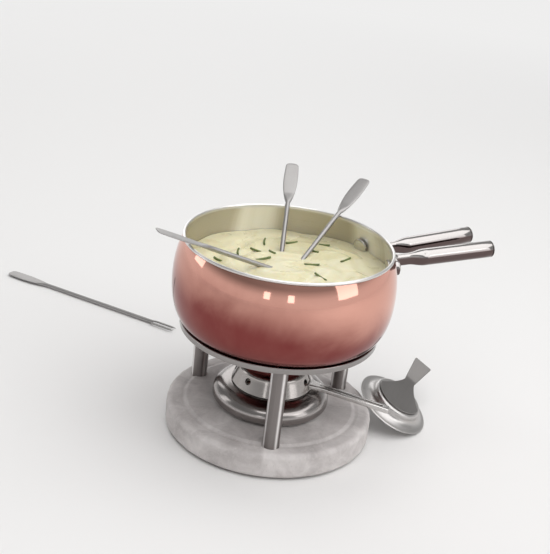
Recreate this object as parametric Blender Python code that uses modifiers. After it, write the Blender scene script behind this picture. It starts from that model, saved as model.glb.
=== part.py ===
"""Fondue pot set: a copper pot with a twin-tube handle on a stone-footed stand,
with a regulated burner, its snuffer lid and four forks. Metres, +Z up, origin on the
pot's axis at table level, +X to the right and -Y towards the person at the table."""

import math

import bmesh
import bpy
import numpy as np
from mathutils import Matrix, Vector

# Fits
CLEAR = 0.0003                    # gap between pieces that touch
ROUND_STEPS = 36                  # facets of a large turned piece
SPUN_STEPS = 26                   # facets of the burner's and the lid's turned pieces
SMALL_STEPS = 14                  # facets of a small turned piece
SCREW_STEPS = 10                  # facets of a screw, rivet or small hole
SHARP_ANGLE = math.radians(40.0)  # edges sharper than this stay crisp
WELD = 0.000001                   # points closer than this are one
BISECTIONS = 40                   # halvings in a search for a resting place
ROUND_END_START = math.radians(8.0)   # where the stations of a rounded end begin

# Pot
POT_HEIGHT = 0.0841               # underside to rim
POT_BELLY_RADIUS = 0.1012
POT_BELLY_HEIGHT = 0.0431         # widest point above the underside
POT_NECK_RADIUS = 0.0939          # copper just under the rim bead
POT_FLAT_RADIUS = 0.0798          # flat of the underside
POT_NECK_SWEEP = math.radians(48.8)   # arc of the wall from belly to neck
POT_CORNER_POWER = 2.2            # fullness of the lower corner, 2 is an ellipse
COPPER_WALL = 0.0010
LINER_WALL = 0.0010
BEAD_RADIUS = 0.0014              # rolled rim of the steel liner
BEAD_START = math.radians(200.0)  # bead's roll, from the inside over the top
BEAD_END = math.radians(-112.0)

# Stand
PAD_THICK = 0.0015
PAD_INSET = 0.0095                # pad edge inside the stone's edge
STONE_THICK = 0.0247
STONE_MARGIN = 0.0175             # stone edge outside the circle of legs
STONE_STEP = 0.0011               # outer margin below the raised middle
STONE_STEP_OFFSET = 0.0025        # step outside the circle of legs
STONE_TOP_ROUND = 0.0050
STONE_BOTTOM_ROUND = 0.0030
LEG_COUNT = 3
LEG_FIRST_AZIMUTH = math.radians(-90.0)
LEG_RADIUS = 0.0077
LEG_HEIGHT = 0.0754               # from the stone's top to the ring
LEG_INSET = 0.0120                # leg axis inside the ring's edge
LEG_SOCKET = 0.0040
LEG_TAP_DEPTH = 0.0140
LEG_EDGE = 0.0004
RING_PLATE = 0.0024
RING_LIP_HEIGHT = 0.0030          # lip above the plate
RING_LIP_WALL = 0.0022
RING_POT_GAP = 0.0005
RING_OPENING_RADIUS = 0.0540
RING_EDGE = 0.0005
SCREW_RADIUS = 0.0023
SCREW_HOLE_RADIUS = 0.0027
SCREW_HEAD_RADIUS = 0.0046
SCREW_HEAD_HEIGHT = 0.0030
SCREW_REACH = 0.0100              # thread inside a leg
COUNTERBORE_RADIUS = 0.0056
COUNTERBORE_DEPTH = 0.0055
CUT_MARGIN = 0.0050               # cutters run this far past a face

# Pot handle: two tubes with flattened, out-turned feet, each on one rivet
HANDLE_AZIMUTH = math.radians(24.5)
HANDLE_DROP = 0.0225              # rivets below the rim
HANDLE_REACH = 0.1093             # tube ends outside the pot's wall
HANDLE_RISE = math.radians(3.6)
HANDLE_HALF_SPREAD = 0.0138       # tube axis beside the centre line at HANDLE_SPREAD_AT
HANDLE_SPREAD_AT = 0.0143         # outside the pot's wall
HANDLE_SPLAY = 0.05               # sideways run of each tube for one unit outwards
TUBE_RADIUS = 0.0080
TUBE_WALL = 0.0012
TUBE_SHOULDER = 0.0120            # neck length, bend to shoulder
TUBE_TRANSITION = 0.0170          # neck to full round
NECK_HALF_THICK = 0.0029
NECK_HALF_HEIGHT = 0.0056
FOOT_HALF_THICK = 0.0021
FOOT_HALF_HEIGHT = 0.0070
FOOT_POWER = 5.0                  # squareness of the foot's section, 2 is an ellipse
NECK_POWER = 3.0
TUBE_POWER = 2.0
FOOT_BEND_RADIUS = 0.0080
FOOT_RIVET_OFFSET = 0.0085        # rivet past the bend, along the wall
FOOT_END_OFFSET = 0.0082          # foot end past the rivet
RIVET_RADIUS = 0.0030
RIVET_HOLE_RADIUS = 0.0033
RIVET_INNER_HEAD_RADIUS = 0.0076
RIVET_INNER_HEAD = 0.0034
RIVET_INNER_DOME = 0.0012         # rounded part of the inner head
RIVET_OUTER_HEAD_RADIUS = 0.0050
RIVET_OUTER_HEAD = 0.0020
END_CAP_EDGE = 0.0008             # straight edge under the end cap's dome
END_CAP_DOME = 0.0008
END_CAP_SPIGOT = 0.0060

# Burner, heights above the stone
BURNER_RADIUS = 0.0546
BURNER_FOOT_RADIUS = 0.0450
BURNER_BAND_BOTTOM = 0.0055
BURNER_BAND_TOP = 0.0080
BURNER_HEIGHT = 0.0198
BURNER_WALL = 0.0010
BURNER_MOUTH_RADIUS = 0.0355
BURNER_COLLAR_RADIUS = 0.0380     # top flat of the body, and foot of the cover
CUP_GAP = 0.0010                  # cup beside the body's mouth
CUP_WALL = 0.0008
CUP_FLOOR = 0.0027
CUP_FLANGE_INSET = 0.0005
WICK_THICK = 0.0102
GAUZE_THICK = 0.0008
GAUZE_HOLE_RADIUS = 0.0026
GAUZE_HOLE_COUNT = 12
GAUZE_HOLE_SIDES = 6
GAUZE_OUTER_CIRCLE = 0.0210
GAUZE_INNER_CIRCLE = 0.0115
COVER_HEIGHT = 0.0180             # cover above the cup's flange
COVER_WALL = 0.0010
COVER_SHOULDER_RADIUS = 0.0330
COVER_SHOULDER_HEIGHT = 0.0131
COVER_MOUTH_RADIUS = 0.0225
COVER_CROWN_START = math.radians(20.0)   # inner crown starts above the shoulder
COLLAR_GAP = 0.0005
COLLAR_WALL = 0.0008
COLLAR_HEIGHT = 0.0120
AIR_HOLE_COUNT = 7
AIR_HOLE_RADIUS = 0.0032
AIR_HOLE_HEIGHT = 0.0088          # above the cover's foot
AIR_HOLE_AZIMUTH = math.radians(-30.0)

# Regulator handle, a folded strip welded to the cover
REGULATOR_AZIMUTH = math.radians(-15.5)
REGULATOR_REACH = 0.0761          # handle's end outside the cover
REGULATOR_DROP = math.radians(6.6)
REGULATOR_HEIGHT = 0.0036         # root axis above the cover's foot
REGULATOR_HALF_WIDTH = 0.0043
REGULATOR_THICK = 0.0048
REGULATOR_ROOT_HALF_WIDTH = 0.0065
REGULATOR_ROOT_LENGTH = 0.0130
REGULATOR_SHEET = 0.0009
REGULATOR_SLOT = 0.0024
REGULATOR_SLOT_END = 0.0062       # slot stops this far from the ends
REGULATOR_ROUND = 0.0012
REGULATOR_END_ROUND = 0.45        # the end's corner radius as a share of the half width
REGULATOR_ROUND_ANGLE = math.radians(60.0)   # edges sharper than this are rounded
FLANGE_HALF_ANGLE = math.radians(10.0)
FLANGE_HEIGHT = 0.0056
FLANGE_THICK = 0.0012

# Snuffer lid, leaning on the stone's edge
LID_RADIUS = 0.0372
LID_HEIGHT = 0.0112
LID_TOP_RADIUS = 0.0225
LID_SHOULDER_RADIUS = 0.0262
LID_SHOULDER_DROP = 0.0040
LID_WALL = 0.0010
LID_BRIM_START = math.radians(14.0)   # brim's underside starts this far up the flare
LID_AZIMUTH = math.radians(12.5)
LID_STANDOFF = 0.0290             # lid centre outside the stone's edge
LID_LEAN_AZIMUTH = math.radians(-21.0)
LID_STEEPEST = math.radians(80.0)
LID_BRIM_SAMPLES = 181
TAIL_AZIMUTH = math.radians(66.0)
PLATE_RADIUS = 0.0225
PLATE_THICK = 0.0014
TAIL_NECK_AT = 0.0370
TAIL_NECK_HALF_WIDTH = 0.0058
TAIL_LENGTH = 0.0340
TAIL_END_HALF_WIDTH = 0.0102
TAIL_TAPER_POWER = 1.5            # hollowness of the taper from plate to neck
TAIL_RISE = math.radians(16.0)
TAIL_BEND = 0.0060                # length over which the tail turns up

# Forks
FORK_LENGTH = 0.2300
FORK_SHAFT_RADIUS = 0.0022
FORK_TINE_RADIUS = 0.0011
FORK_TINE_LENGTH = 0.0260
FORK_TINE_HALF_GAP = 0.0034
FORK_TINE_POINT = 0.0065          # tapered length of a tine
FORK_TINE_TIP = 0.3               # tip radius as a share of the tine's
FORK_PADDLE_LENGTH = 0.0530
FORK_PADDLE_HALF_WIDTH = 0.0070
FORK_PADDLE_HALF_THICK = 0.0008
FORK_PADDLE_WIDEST = 0.0305       # widest point past the shaft
FORK_PADDLE_POWER = 0.75          # fullness of the leaf's sides
FORK_PADDLE_END = 0.80            # end width as a share of the widest
FORK_PADDLE_NECK = 0.0140         # round shaft to flat paddle
FORK_END_ROUND = 0.0036           # corner radius of the leaf's end
BACK_FORK_AZIMUTH = math.radians(89.5)
BACK_FORK_HEADING = math.radians(86.0)
BACK_FORK_TILT = math.radians(28.0)
RIGHT_FORK_AZIMUTH = math.radians(57.5)
RIGHT_FORK_HEADING = math.radians(58.0)
RIGHT_FORK_FLATTEST = math.radians(5.0)
LEFT_FORK_AZIMUTH = math.radians(-159.0)
LEFT_FORK_HEADING = math.radians(-160.0)
LEFT_FORK_TILT = math.radians(20.5)
TABLE_FORK_TIP = (-0.1005, 0.1785)
TABLE_FORK_HEADING = math.radians(151.0)

# Heights and radii that follow from the sizes above
quarter = math.pi / 2.0
stone_bottom = PAD_THICK + CLEAR
stone_top = stone_bottom + STONE_THICK
margin_top = stone_top - STONE_STEP
socket_floor = stone_top - LEG_SOCKET
leg_bottom = socket_floor + CLEAR
leg_top = stone_top + LEG_HEIGHT
ring_bottom = leg_top + CLEAR
ring_seat = ring_bottom + RING_PLATE
ring_top = ring_seat + RING_LIP_HEIGHT
pot_bottom = ring_seat + CLEAR
rim_top = pot_bottom + POT_HEIGHT
belly_z = pot_bottom + POT_BELLY_HEIGHT
bead_z = rim_top - BEAD_RADIUS
bead_bottom = rim_top - 2.0 * BEAD_RADIUS
copper_top = bead_bottom - CLEAR


def pot_curve(offset, count=5):
    """The pot's outer profile from the copper's top edge to the flat of the base, moved
    inwards by offset: an arc of an ellipse above the belly, a fuller quarter below it."""
    upper_height = (bead_bottom - belly_z) / math.sin(POT_NECK_SWEEP)
    upper_depth = (POT_BELLY_RADIUS - POT_NECK_RADIUS) / (1.0 - math.cos(POT_NECK_SWEEP))
    lower_depth = POT_BELLY_RADIUS - POT_FLAT_RADIUS
    start = math.asin((copper_top - belly_z) / upper_height)
    upper = np.linspace(start, 0.0, count)[:-1]
    lower = np.linspace(0.0, quarter, count + 1)
    power = 2.0 / POT_CORNER_POWER
    cosine = np.clip(np.cos(lower), 0.0, 1.0)
    radius = np.concatenate([POT_BELLY_RADIUS - upper_depth * (1.0 - np.cos(upper)),
                             POT_FLAT_RADIUS + lower_depth * cosine ** power])
    height = np.concatenate([belly_z + upper_height * np.sin(upper),
                             belly_z - POT_BELLY_HEIGHT * np.sin(lower) ** power])
    along = np.stack([np.gradient(radius), np.gradient(height)])
    along /= np.linalg.norm(along, axis=0)
    along[:, -1] = (-1.0, 0.0)
    return np.stack([radius + offset * along[1], height - offset * along[0]], axis=1)


def pot_radius(height, offset=0.0):
    """Radius of the pot's profile, moved inwards by offset, at a height."""
    curve = pot_curve(offset, 81)[::-1]
    return float(np.interp(height, curve[:, 1], curve[:, 0]))


wall = COPPER_WALL + CLEAR + LINER_WALL
inside_floor = pot_bottom + wall
bead_circle = POT_NECK_RADIUS - CLEAR
ring_inner = pot_radius(ring_top) + RING_POT_GAP
ring_radius = ring_inner + RING_LIP_WALL
leg_circle = ring_radius - LEG_INSET
stone_radius = leg_circle + STONE_MARGIN
step_radius = leg_circle + STONE_STEP_OFFSET
burner_z = stone_top + CLEAR
cup_radius = BURNER_MOUTH_RADIUS - CUP_GAP
flange_bottom = burner_z + BURNER_HEIGHT + CLEAR
flange_top = flange_bottom + CUP_WALL
cover_z = flange_top + CLEAR


# Scene and helpers

for old in list(bpy.data.objects):
    bpy.data.objects.remove(old, do_unlink=True)

parts = bpy.data.collections.new("fondue_set")
cutters = bpy.data.collections.new("fondue_set_cutters")
bpy.context.scene.collection.children.link(parts)
bpy.context.scene.collection.children.link(cutters)


def material(name, colour, roughness, metallic):
    """A plain Principled material."""
    made = bpy.data.materials.new(name)
    made.use_nodes = True
    shader = made.node_tree.nodes["Principled BSDF"]
    shader.inputs["Base Color"].default_value = (*colour, 1.0)
    shader.inputs["Roughness"].default_value = roughness
    shader.inputs["Metallic"].default_value = metallic
    return made


polished = material("polished_steel", (0.62, 0.61, 0.60), 0.14, 1.0)
satin = material("satin_steel", (0.52, 0.50, 0.48), 0.32, 1.0)
copper = material("polished_copper", (0.78, 0.42, 0.33), 0.12, 1.0)
stone = material("pale_stone", (0.52, 0.49, 0.47), 0.85, 0.0)
felt = material("dark_felt", (0.06, 0.06, 0.06), 0.95, 0.0)
wool = material("wick_wool", (0.78, 0.75, 0.68), 0.95, 0.0)


def place(name, mesh, finish, matrix=Matrix(), collection=parts):
    """Put a mesh in the scene as a named object with its finish."""
    obj = bpy.data.objects.new(name, mesh)
    obj.matrix_world = matrix
    collection.objects.link(obj)
    if finish:
        obj.data.materials.clear()
        obj.data.materials.append(finish)
    if collection is cutters:
        obj.hide_render = True
        obj.display_type = 'WIRE'
    return obj


def turned(name, profile, finish, closed=False, steps=ROUND_STEPS, matrix=Matrix(),
           collection=parts):
    """Turn a profile of (radius, height) points about Z; its outer side runs downwards."""
    mesh = bpy.data.meshes.new(name)
    points = [(r, 0.0, z) for r, z in profile]
    edges = [(i, i + 1) for i in range(len(points) - 1)]
    if closed:
        edges.append((len(points) - 1, 0))
    mesh.from_pydata(points, edges, [])
    obj = place(name, mesh, finish, matrix, collection)
    screw = obj.modifiers.new("turn", 'SCREW')
    screw.axis = 'Z'
    screw.angle = 2.0 * math.pi
    screw.steps = steps
    screw.render_steps = steps
    screw.use_merge_vertices = True
    screw.merge_threshold = WELD
    screw.use_smooth_shade = True
    return obj


def baked(obj):
    """Evaluate an object's modifiers into a plain mesh and remove the object."""
    bpy.context.view_layer.update()
    graph = bpy.context.evaluated_depsgraph_get()
    mesh = bpy.data.meshes.new_from_object(obj.evaluated_get(graph))
    work = bmesh.new()
    work.from_mesh(mesh)
    bmesh.ops.remove_doubles(work, verts=work.verts, dist=WELD)
    work.to_mesh(mesh)
    work.free()
    bpy.data.objects.remove(obj, do_unlink=True)
    return mesh


def gang_cutter(name, mesh, matrices):
    """One cutter made of copies of a mesh at several places."""
    work = bmesh.new()
    for matrix in matrices:
        copy = mesh.copy()
        copy.transform(matrix)
        work.from_mesh(copy)
        bpy.data.meshes.remove(copy)
    joined = bpy.data.meshes.new(name)
    work.to_mesh(joined)
    work.free()
    return place(name, joined, None, collection=cutters)


def loft(name, rings, finish, collection=parts):
    """Skin a row of rings with equal numbers of points, and cap both ends."""
    work = bmesh.new()
    rows = [[work.verts.new(point) for point in ring] for ring in rings]
    for near, far in zip(rows, rows[1:]):
        for i in range(len(near)):
            j = (i + 1) % len(near)
            work.faces.new((near[i], near[j], far[j], far[i]))
    work.faces.new(rows[0][::-1])
    work.faces.new(rows[-1])
    bmesh.ops.recalc_face_normals(work, faces=work.faces)
    mesh = bpy.data.meshes.new(name)
    work.to_mesh(mesh)
    work.free()
    mesh.shade_smooth()
    mesh.set_sharp_from_angle(angle=SHARP_ANGLE)
    return place(name, mesh, finish, collection=collection)


def drill(name, radius, start, end, steps=SMALL_STEPS):
    """A round cutter between two points."""
    start, end = Vector(start), Vector(end)
    turn = (end - start).to_track_quat('Z', 'Y').to_matrix().to_4x4()
    work = bmesh.new()
    bmesh.ops.create_cone(work, cap_ends=True, segments=steps, radius1=radius, radius2=radius,
                          depth=(end - start).length,
                          matrix=Matrix.Translation((start + end) / 2.0) @ turn)
    mesh = bpy.data.meshes.new(name)
    work.to_mesh(mesh)
    work.free()
    return place(name, mesh, None, collection=cutters)


def combine(obj, other, operation='DIFFERENCE'):
    """Cut or join an object with another, which stays out of the finished set."""
    boolean = obj.modifiers.new(other.name, 'BOOLEAN')
    boolean.operation = operation
    boolean.solver = 'EXACT'
    boolean.object = other


def around(azimuth, radius=0.0, height=0.0):
    """A place on a circle about the pot's axis, facing outwards."""
    return Matrix.Rotation(azimuth, 4, 'Z') @ Matrix.Translation((radius, 0.0, height))


def arc(centre, radii, start, end, count):
    """Points of an elliptic arc in a profile, both ends included."""
    return [(centre[0] + radii[0] * math.cos(t), centre[1] + radii[1] * math.sin(t))
            for t in np.linspace(start, end, count)]


def axis_frame(origin, direction, up=Vector((0.0, 0.0, 1.0))):
    """A frame whose local X runs along direction and whose local Z leans towards up."""
    x = Vector(direction).normalized()
    y = up.cross(x).normalized()
    z = x.cross(y)
    frame = Matrix((x, y, z)).transposed().to_4x4()
    frame.translation = Vector(origin)
    return frame


def bisect(good, bad, holds):
    """The last value on the way from good to bad at which a condition still holds."""
    for _ in range(BISECTIONS):
        middle = (good + bad) / 2.0
        if holds(middle):
            good = middle
        else:
            bad = middle
    return good


# Stand: felt pad, stone base, three legs and the ring that carries the pot

turned("base_pad", [(0.0, PAD_THICK), (stone_radius - PAD_INSET, PAD_THICK),
                    (stone_radius - PAD_INSET, 0.0), (0.0, 0.0)], felt)

stone_profile = [(0.0, stone_top), (step_radius - STONE_STEP, stone_top), (step_radius, margin_top)]
stone_profile += arc((stone_radius - STONE_TOP_ROUND, margin_top - STONE_TOP_ROUND),
                     (STONE_TOP_ROUND, STONE_TOP_ROUND), quarter, 0.0, 4)
stone_profile += arc((stone_radius - STONE_BOTTOM_ROUND, stone_bottom + STONE_BOTTOM_ROUND),
                     (STONE_BOTTOM_ROUND, STONE_BOTTOM_ROUND), 0.0, -quarter, 3)
stone_profile += [(0.0, stone_bottom)]
stone_base = turned("stone_base", stone_profile, stone)

leg_profile = [(0.0, leg_top - LEG_TAP_DEPTH), (SCREW_HOLE_RADIUS, leg_top - LEG_TAP_DEPTH),
               (SCREW_HOLE_RADIUS, leg_top), (LEG_RADIUS - LEG_EDGE, leg_top),
               (LEG_RADIUS, leg_top - LEG_EDGE), (LEG_RADIUS, leg_bottom + LEG_EDGE),
               (LEG_RADIUS - LEG_EDGE, leg_bottom), (SCREW_HOLE_RADIUS, leg_bottom),
               (SCREW_HOLE_RADIUS, leg_bottom + LEG_TAP_DEPTH), (0.0, leg_bottom + LEG_TAP_DEPTH)]
leg_mesh = baked(turned("leg", leg_profile, polished, steps=SMALL_STEPS))

base_screw_top = stone_bottom + COUNTERBORE_DEPTH - CLEAR
base_screw_profile = [(0.0, leg_bottom + SCREW_REACH), (SCREW_RADIUS, leg_bottom + SCREW_REACH),
                      (SCREW_RADIUS, base_screw_top), (SCREW_HEAD_RADIUS, base_screw_top),
                      (SCREW_HEAD_RADIUS, base_screw_top - SCREW_HEAD_HEIGHT),
                      (0.0, base_screw_top - SCREW_HEAD_HEIGHT)]
base_screw_mesh = baked(turned("base_screw", base_screw_profile, satin, steps=SCREW_STEPS))

head_cone = SCREW_HEAD_RADIUS - SCREW_RADIUS
ring_screw_top = ring_seat - CLEAR
ring_screw_profile = [(0.0, ring_screw_top), (SCREW_HEAD_RADIUS - CLEAR, ring_screw_top),
                      (SCREW_RADIUS, ring_screw_top - head_cone + CLEAR),
                      (SCREW_RADIUS, leg_top - SCREW_REACH), (0.0, leg_top - SCREW_REACH)]
ring_screw_mesh = baked(turned("ring_screw", ring_screw_profile, satin, steps=SCREW_STEPS))

ring_profile = [(ring_inner, ring_top), (ring_radius - RING_EDGE, ring_top),
                (ring_radius, ring_top - RING_EDGE), (ring_radius, ring_bottom + RING_EDGE),
                (ring_radius - RING_EDGE, ring_bottom), (RING_OPENING_RADIUS, ring_bottom),
                (RING_OPENING_RADIUS, ring_seat), (ring_inner - RING_EDGE, ring_seat),
                (ring_inner, ring_seat + RING_EDGE)]
stand_ring = turned("stand_ring", ring_profile, polished, closed=True)

leg_places = [around(LEG_FIRST_AZIMUTH + i * 2.0 * math.pi / LEG_COUNT, leg_circle)
              for i in range(LEG_COUNT)]
stone_cut = [(0.0, stone_top + CUT_MARGIN), (LEG_RADIUS + CLEAR, stone_top + CUT_MARGIN),
             (LEG_RADIUS + CLEAR, socket_floor), (SCREW_HOLE_RADIUS, socket_floor),
             (SCREW_HOLE_RADIUS, stone_bottom + COUNTERBORE_DEPTH),
             (COUNTERBORE_RADIUS, stone_bottom + COUNTERBORE_DEPTH),
             (COUNTERBORE_RADIUS, stone_bottom - CUT_MARGIN), (0.0, stone_bottom - CUT_MARGIN)]
ring_cut = [(0.0, ring_seat + CUT_MARGIN), (SCREW_HEAD_RADIUS, ring_seat + CUT_MARGIN),
            (SCREW_HEAD_RADIUS, ring_seat),
            (SCREW_HOLE_RADIUS, ring_seat - SCREW_HEAD_RADIUS + SCREW_HOLE_RADIUS),
            (SCREW_HOLE_RADIUS, ring_bottom - CUT_MARGIN), (0.0, ring_bottom - CUT_MARGIN)]
for number, spot in enumerate(leg_places, 1):
    place(f"leg_{number}", leg_mesh, polished, spot)
    place(f"base_screw_{number}", base_screw_mesh, satin, spot)
    place(f"ring_screw_{number}", ring_screw_mesh, satin, spot)
    combine(stone_base, turned(f"stone_cut_{number}", stone_cut, None, steps=SMALL_STEPS,
                               matrix=spot, collection=cutters))
    combine(stand_ring, turned(f"ring_cut_{number}", ring_cut, None, steps=SCREW_STEPS,
                               matrix=spot, collection=cutters))

# Pot: a copper shell outside a steel liner whose rim is rolled into a bead


def shell_profile(inner, outer, edge=()):
    """Closed wall between two offsets of the pot's curve, open at the top over an edge."""
    inside = pot_curve(inner)[::-1]
    outside = pot_curve(outer)
    return ([(0.0, inside[0][1])] + [tuple(p) for p in inside] + list(edge)
            + [tuple(p) for p in outside] + [(0.0, outside[-1][1])])


pot_shell = turned("pot_shell", shell_profile(COPPER_WALL, 0.0), copper)
bead = arc((bead_circle, bead_z), (BEAD_RADIUS, BEAD_RADIUS), BEAD_START, BEAD_END, 6)
pot_liner = turned("pot_liner", shell_profile(wall, COPPER_WALL + CLEAR, bead), satin)

# Handle: each tube starts as a flat foot on the wall, bends outwards and swells into a round

rivet_z = rim_top - HANDLE_DROP
wall_radius = pot_radius(rivet_z)
slope_step = 0.001
wall_lean = math.atan((pot_radius(rivet_z - slope_step) - pot_radius(rivet_z + slope_step))
                      / (2.0 * slope_step))
foot_gap = CLEAR + FOOT_HALF_THICK
foot_radius = wall_radius + foot_gap * math.cos(wall_lean)
foot_z = rivet_z + foot_gap * math.sin(wall_lean)
run = Vector((1.0, HANDLE_SPLAY)).normalized()
side = Vector((-run.y, run.x))
anchor = Vector((wall_radius + HANDLE_SPREAD_AT, HANDLE_HALF_SPREAD))
reach = anchor + FOOT_BEND_RADIUS * side
to_bend = -reach.dot(run) + math.sqrt(reach.dot(run) ** 2 - reach.length_squared
                                      + (foot_radius + FOOT_BEND_RADIUS) ** 2)
bend_centre = reach + to_bend * run
bend_end = anchor + to_bend * run
bend_start_angle = math.atan2(bend_centre.y, bend_centre.x)
rivet_angle = bend_start_angle + FOOT_RIVET_OFFSET / foot_radius
foot_end_angle = rivet_angle + FOOT_END_OFFSET / foot_radius
tube_length = (wall_radius + HANDLE_REACH - bend_end.x) / run.x


def smooth(t):
    """Ease from 0 to 1."""
    t = min(max(t, 0.0), 1.0)
    return t * t * (3.0 - 2.0 * t)


def section(point, heading, climb, lean, half_thick, half_height, power, count=12):
    """A rounded section square to the tube's path, tipped by the wall's lean."""
    along = Vector((math.cos(heading) * math.cos(climb), math.sin(heading) * math.cos(climb),
                    math.sin(climb)))
    across = Vector((-math.sin(heading), math.cos(heading), 0.0))
    upright = along.cross(across)
    outwards = across * math.cos(lean) + upright * math.sin(lean)
    upwards = upright * math.cos(lean) - across * math.sin(lean)
    ring = []
    for i in range(count):
        c = math.cos(2.0 * math.pi * i / count)
        s = math.sin(2.0 * math.pi * i / count)
        ring.append(Vector(point) + outwards * half_thick * math.copysign(abs(c) ** (2.0 / power), c)
                    + upwards * half_height * math.copysign(abs(s) ** (2.0 / power), s))
    return ring


def tube_rings():
    """Sections of the back tube, in a frame whose X is the handle's centre line."""
    rings = []
    foot_length = FOOT_RIVET_OFFSET + FOOT_END_OFFSET
    stations = [(FOOT_HALF_HEIGHT * (1.0 - math.cos(t)), FOOT_HALF_HEIGHT * math.sin(t))
                for t in np.linspace(ROUND_END_START, quarter, 5)]
    stations += [(back, FOOT_HALF_HEIGHT)
                 for back in np.linspace(FOOT_HALF_HEIGHT, foot_length, 4)[1:-1]]
    for back, height in stations:
        angle = foot_end_angle - back / foot_radius
        point = (foot_radius * math.cos(angle), foot_radius * math.sin(angle), foot_z)
        rings.append(section(point, angle - quarter, 0.0, wall_lean, FOOT_HALF_THICK, height,
                             FOOT_POWER))
    turn_start = bend_start_angle + math.pi
    turn_end = math.atan2(-side.y, -side.x) + 2.0 * math.pi
    for share in np.linspace(0.0, 1.0, 6):
        angle = turn_start + (turn_end - turn_start) * share
        point = (bend_centre.x + FOOT_BEND_RADIUS * math.cos(angle),
                 bend_centre.y + FOOT_BEND_RADIUS * math.sin(angle), foot_z)
        ease = smooth(share)
        rings.append(section(point, angle + quarter, HANDLE_RISE * ease, wall_lean * (1.0 - ease),
                             FOOT_HALF_THICK + (NECK_HALF_THICK - FOOT_HALF_THICK) * ease,
                             FOOT_HALF_HEIGHT + (NECK_HALF_HEIGHT - FOOT_HALF_HEIGHT) * ease,
                             FOOT_POWER + (NECK_POWER - FOOT_POWER) * ease))
    heading = math.atan2(run.y, run.x)
    swell = [TUBE_SHOULDER + TUBE_TRANSITION * share for share in np.linspace(0.0, 1.0, 5)]
    for distance in [TUBE_SHOULDER / 2.0] + swell + [tube_length]:
        ease = smooth((distance - TUBE_SHOULDER) / TUBE_TRANSITION)
        point = (bend_end.x + run.x * distance, bend_end.y + run.y * distance,
                 foot_z + math.tan(HANDLE_RISE) * distance)
        rings.append(section(point, heading, HANDLE_RISE, 0.0,
                             NECK_HALF_THICK + (TUBE_RADIUS - NECK_HALF_THICK) * ease,
                             NECK_HALF_HEIGHT + (TUBE_RADIUS - NECK_HALF_HEIGHT) * ease,
                             NECK_POWER + (TUBE_POWER - NECK_POWER) * ease))
    return rings


tube_end = Vector((bend_end.x + run.x * tube_length, bend_end.y + run.y * tube_length,
                   foot_z + math.tan(HANDLE_RISE) * tube_length))
tube_axis = Vector((run.x, run.y, math.tan(HANDLE_RISE))).normalized()
bore_length = tube_length - TUBE_SHOULDER - TUBE_TRANSITION
cap_bore = TUBE_RADIUS - TUBE_WALL - CLEAR
end_cap_profile = arc((0.0, END_CAP_EDGE), (TUBE_RADIUS, END_CAP_DOME), quarter, 0.0, 4)
end_cap_profile += [(TUBE_RADIUS, 0.0), (cap_bore, 0.0), (cap_bore, -END_CAP_SPIGOT),
                    (0.0, -END_CAP_SPIGOT)]
end_cap_mesh = baked(turned("end_cap", end_cap_profile, polished, steps=SMALL_STEPS))

facet_sag = wall_radius * (1.0 - math.cos(math.pi / ROUND_STEPS))
head_sag = RIVET_INNER_HEAD_RADIUS ** 2 / (2.0 * wall_radius)
liner_face = -wall - facet_sag - head_sag - CLEAR
tab_face = 2.0 * foot_gap
rivet_profile = arc((0.0, tab_face), (RIVET_OUTER_HEAD_RADIUS, RIVET_OUTER_HEAD), quarter, 0.0, 4)
rivet_profile += [(RIVET_RADIUS, tab_face), (RIVET_RADIUS, liner_face)]
rivet_profile.append((RIVET_INNER_HEAD_RADIUS, liner_face))
rivet_profile += arc((0.0, liner_face - RIVET_INNER_HEAD + RIVET_INNER_DOME),
                     (RIVET_INNER_HEAD_RADIUS, RIVET_INNER_DOME), 0.0, -quarter, 4)
rivet_mesh = baked(turned("rivet", rivet_profile, satin, steps=SMALL_STEPS))

handle_frame = Matrix.Rotation(HANDLE_AZIMUTH, 4, 'Z')
for which, mirror in (("back", 1.0), ("front", -1.0)):
    flip = Vector((1.0, mirror, 1.0))
    placed_rings = [[handle_frame @ (point * flip) for point in ring] for ring in tube_rings()]
    tube = loft(f"handle_tube_{which}", placed_rings, polished)
    end = handle_frame @ (tube_end * flip)
    axis = handle_frame.to_3x3() @ (tube_axis * flip)
    combine(tube, drill(f"handle_bore_{which}", TUBE_RADIUS - TUBE_WALL, end + axis * CUT_MARGIN,
                        end - axis * bore_length))
    place(f"handle_end_cap_{which}", end_cap_mesh, polished,
          Matrix.Translation(end + axis * CLEAR) @ axis.to_track_quat('Z', 'Y').to_matrix().to_4x4())
    azimuth = HANDLE_AZIMUTH + mirror * rivet_angle
    outwards = Vector((math.cos(azimuth) * math.cos(wall_lean),
                       math.sin(azimuth) * math.cos(wall_lean), math.sin(wall_lean)))
    on_wall = Vector((math.cos(azimuth) * wall_radius, math.sin(azimuth) * wall_radius, rivet_z))
    place(f"handle_rivet_{which}", rivet_mesh, satin,
          Matrix.Translation(on_wall) @ outwards.to_track_quat('Z', 'Y').to_matrix().to_4x4())
    hole = drill(f"rivet_hole_{which}", RIVET_HOLE_RADIUS, on_wall - outwards * 2.0 * CUT_MARGIN,
                 on_wall + outwards * 2.0 * CUT_MARGIN)
    for pierced in (tube, pot_shell, pot_liner):
        combine(pierced, hole)

# Burner: spun body, fuel cup with wick and gauze, and the collar with its air holes

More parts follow.
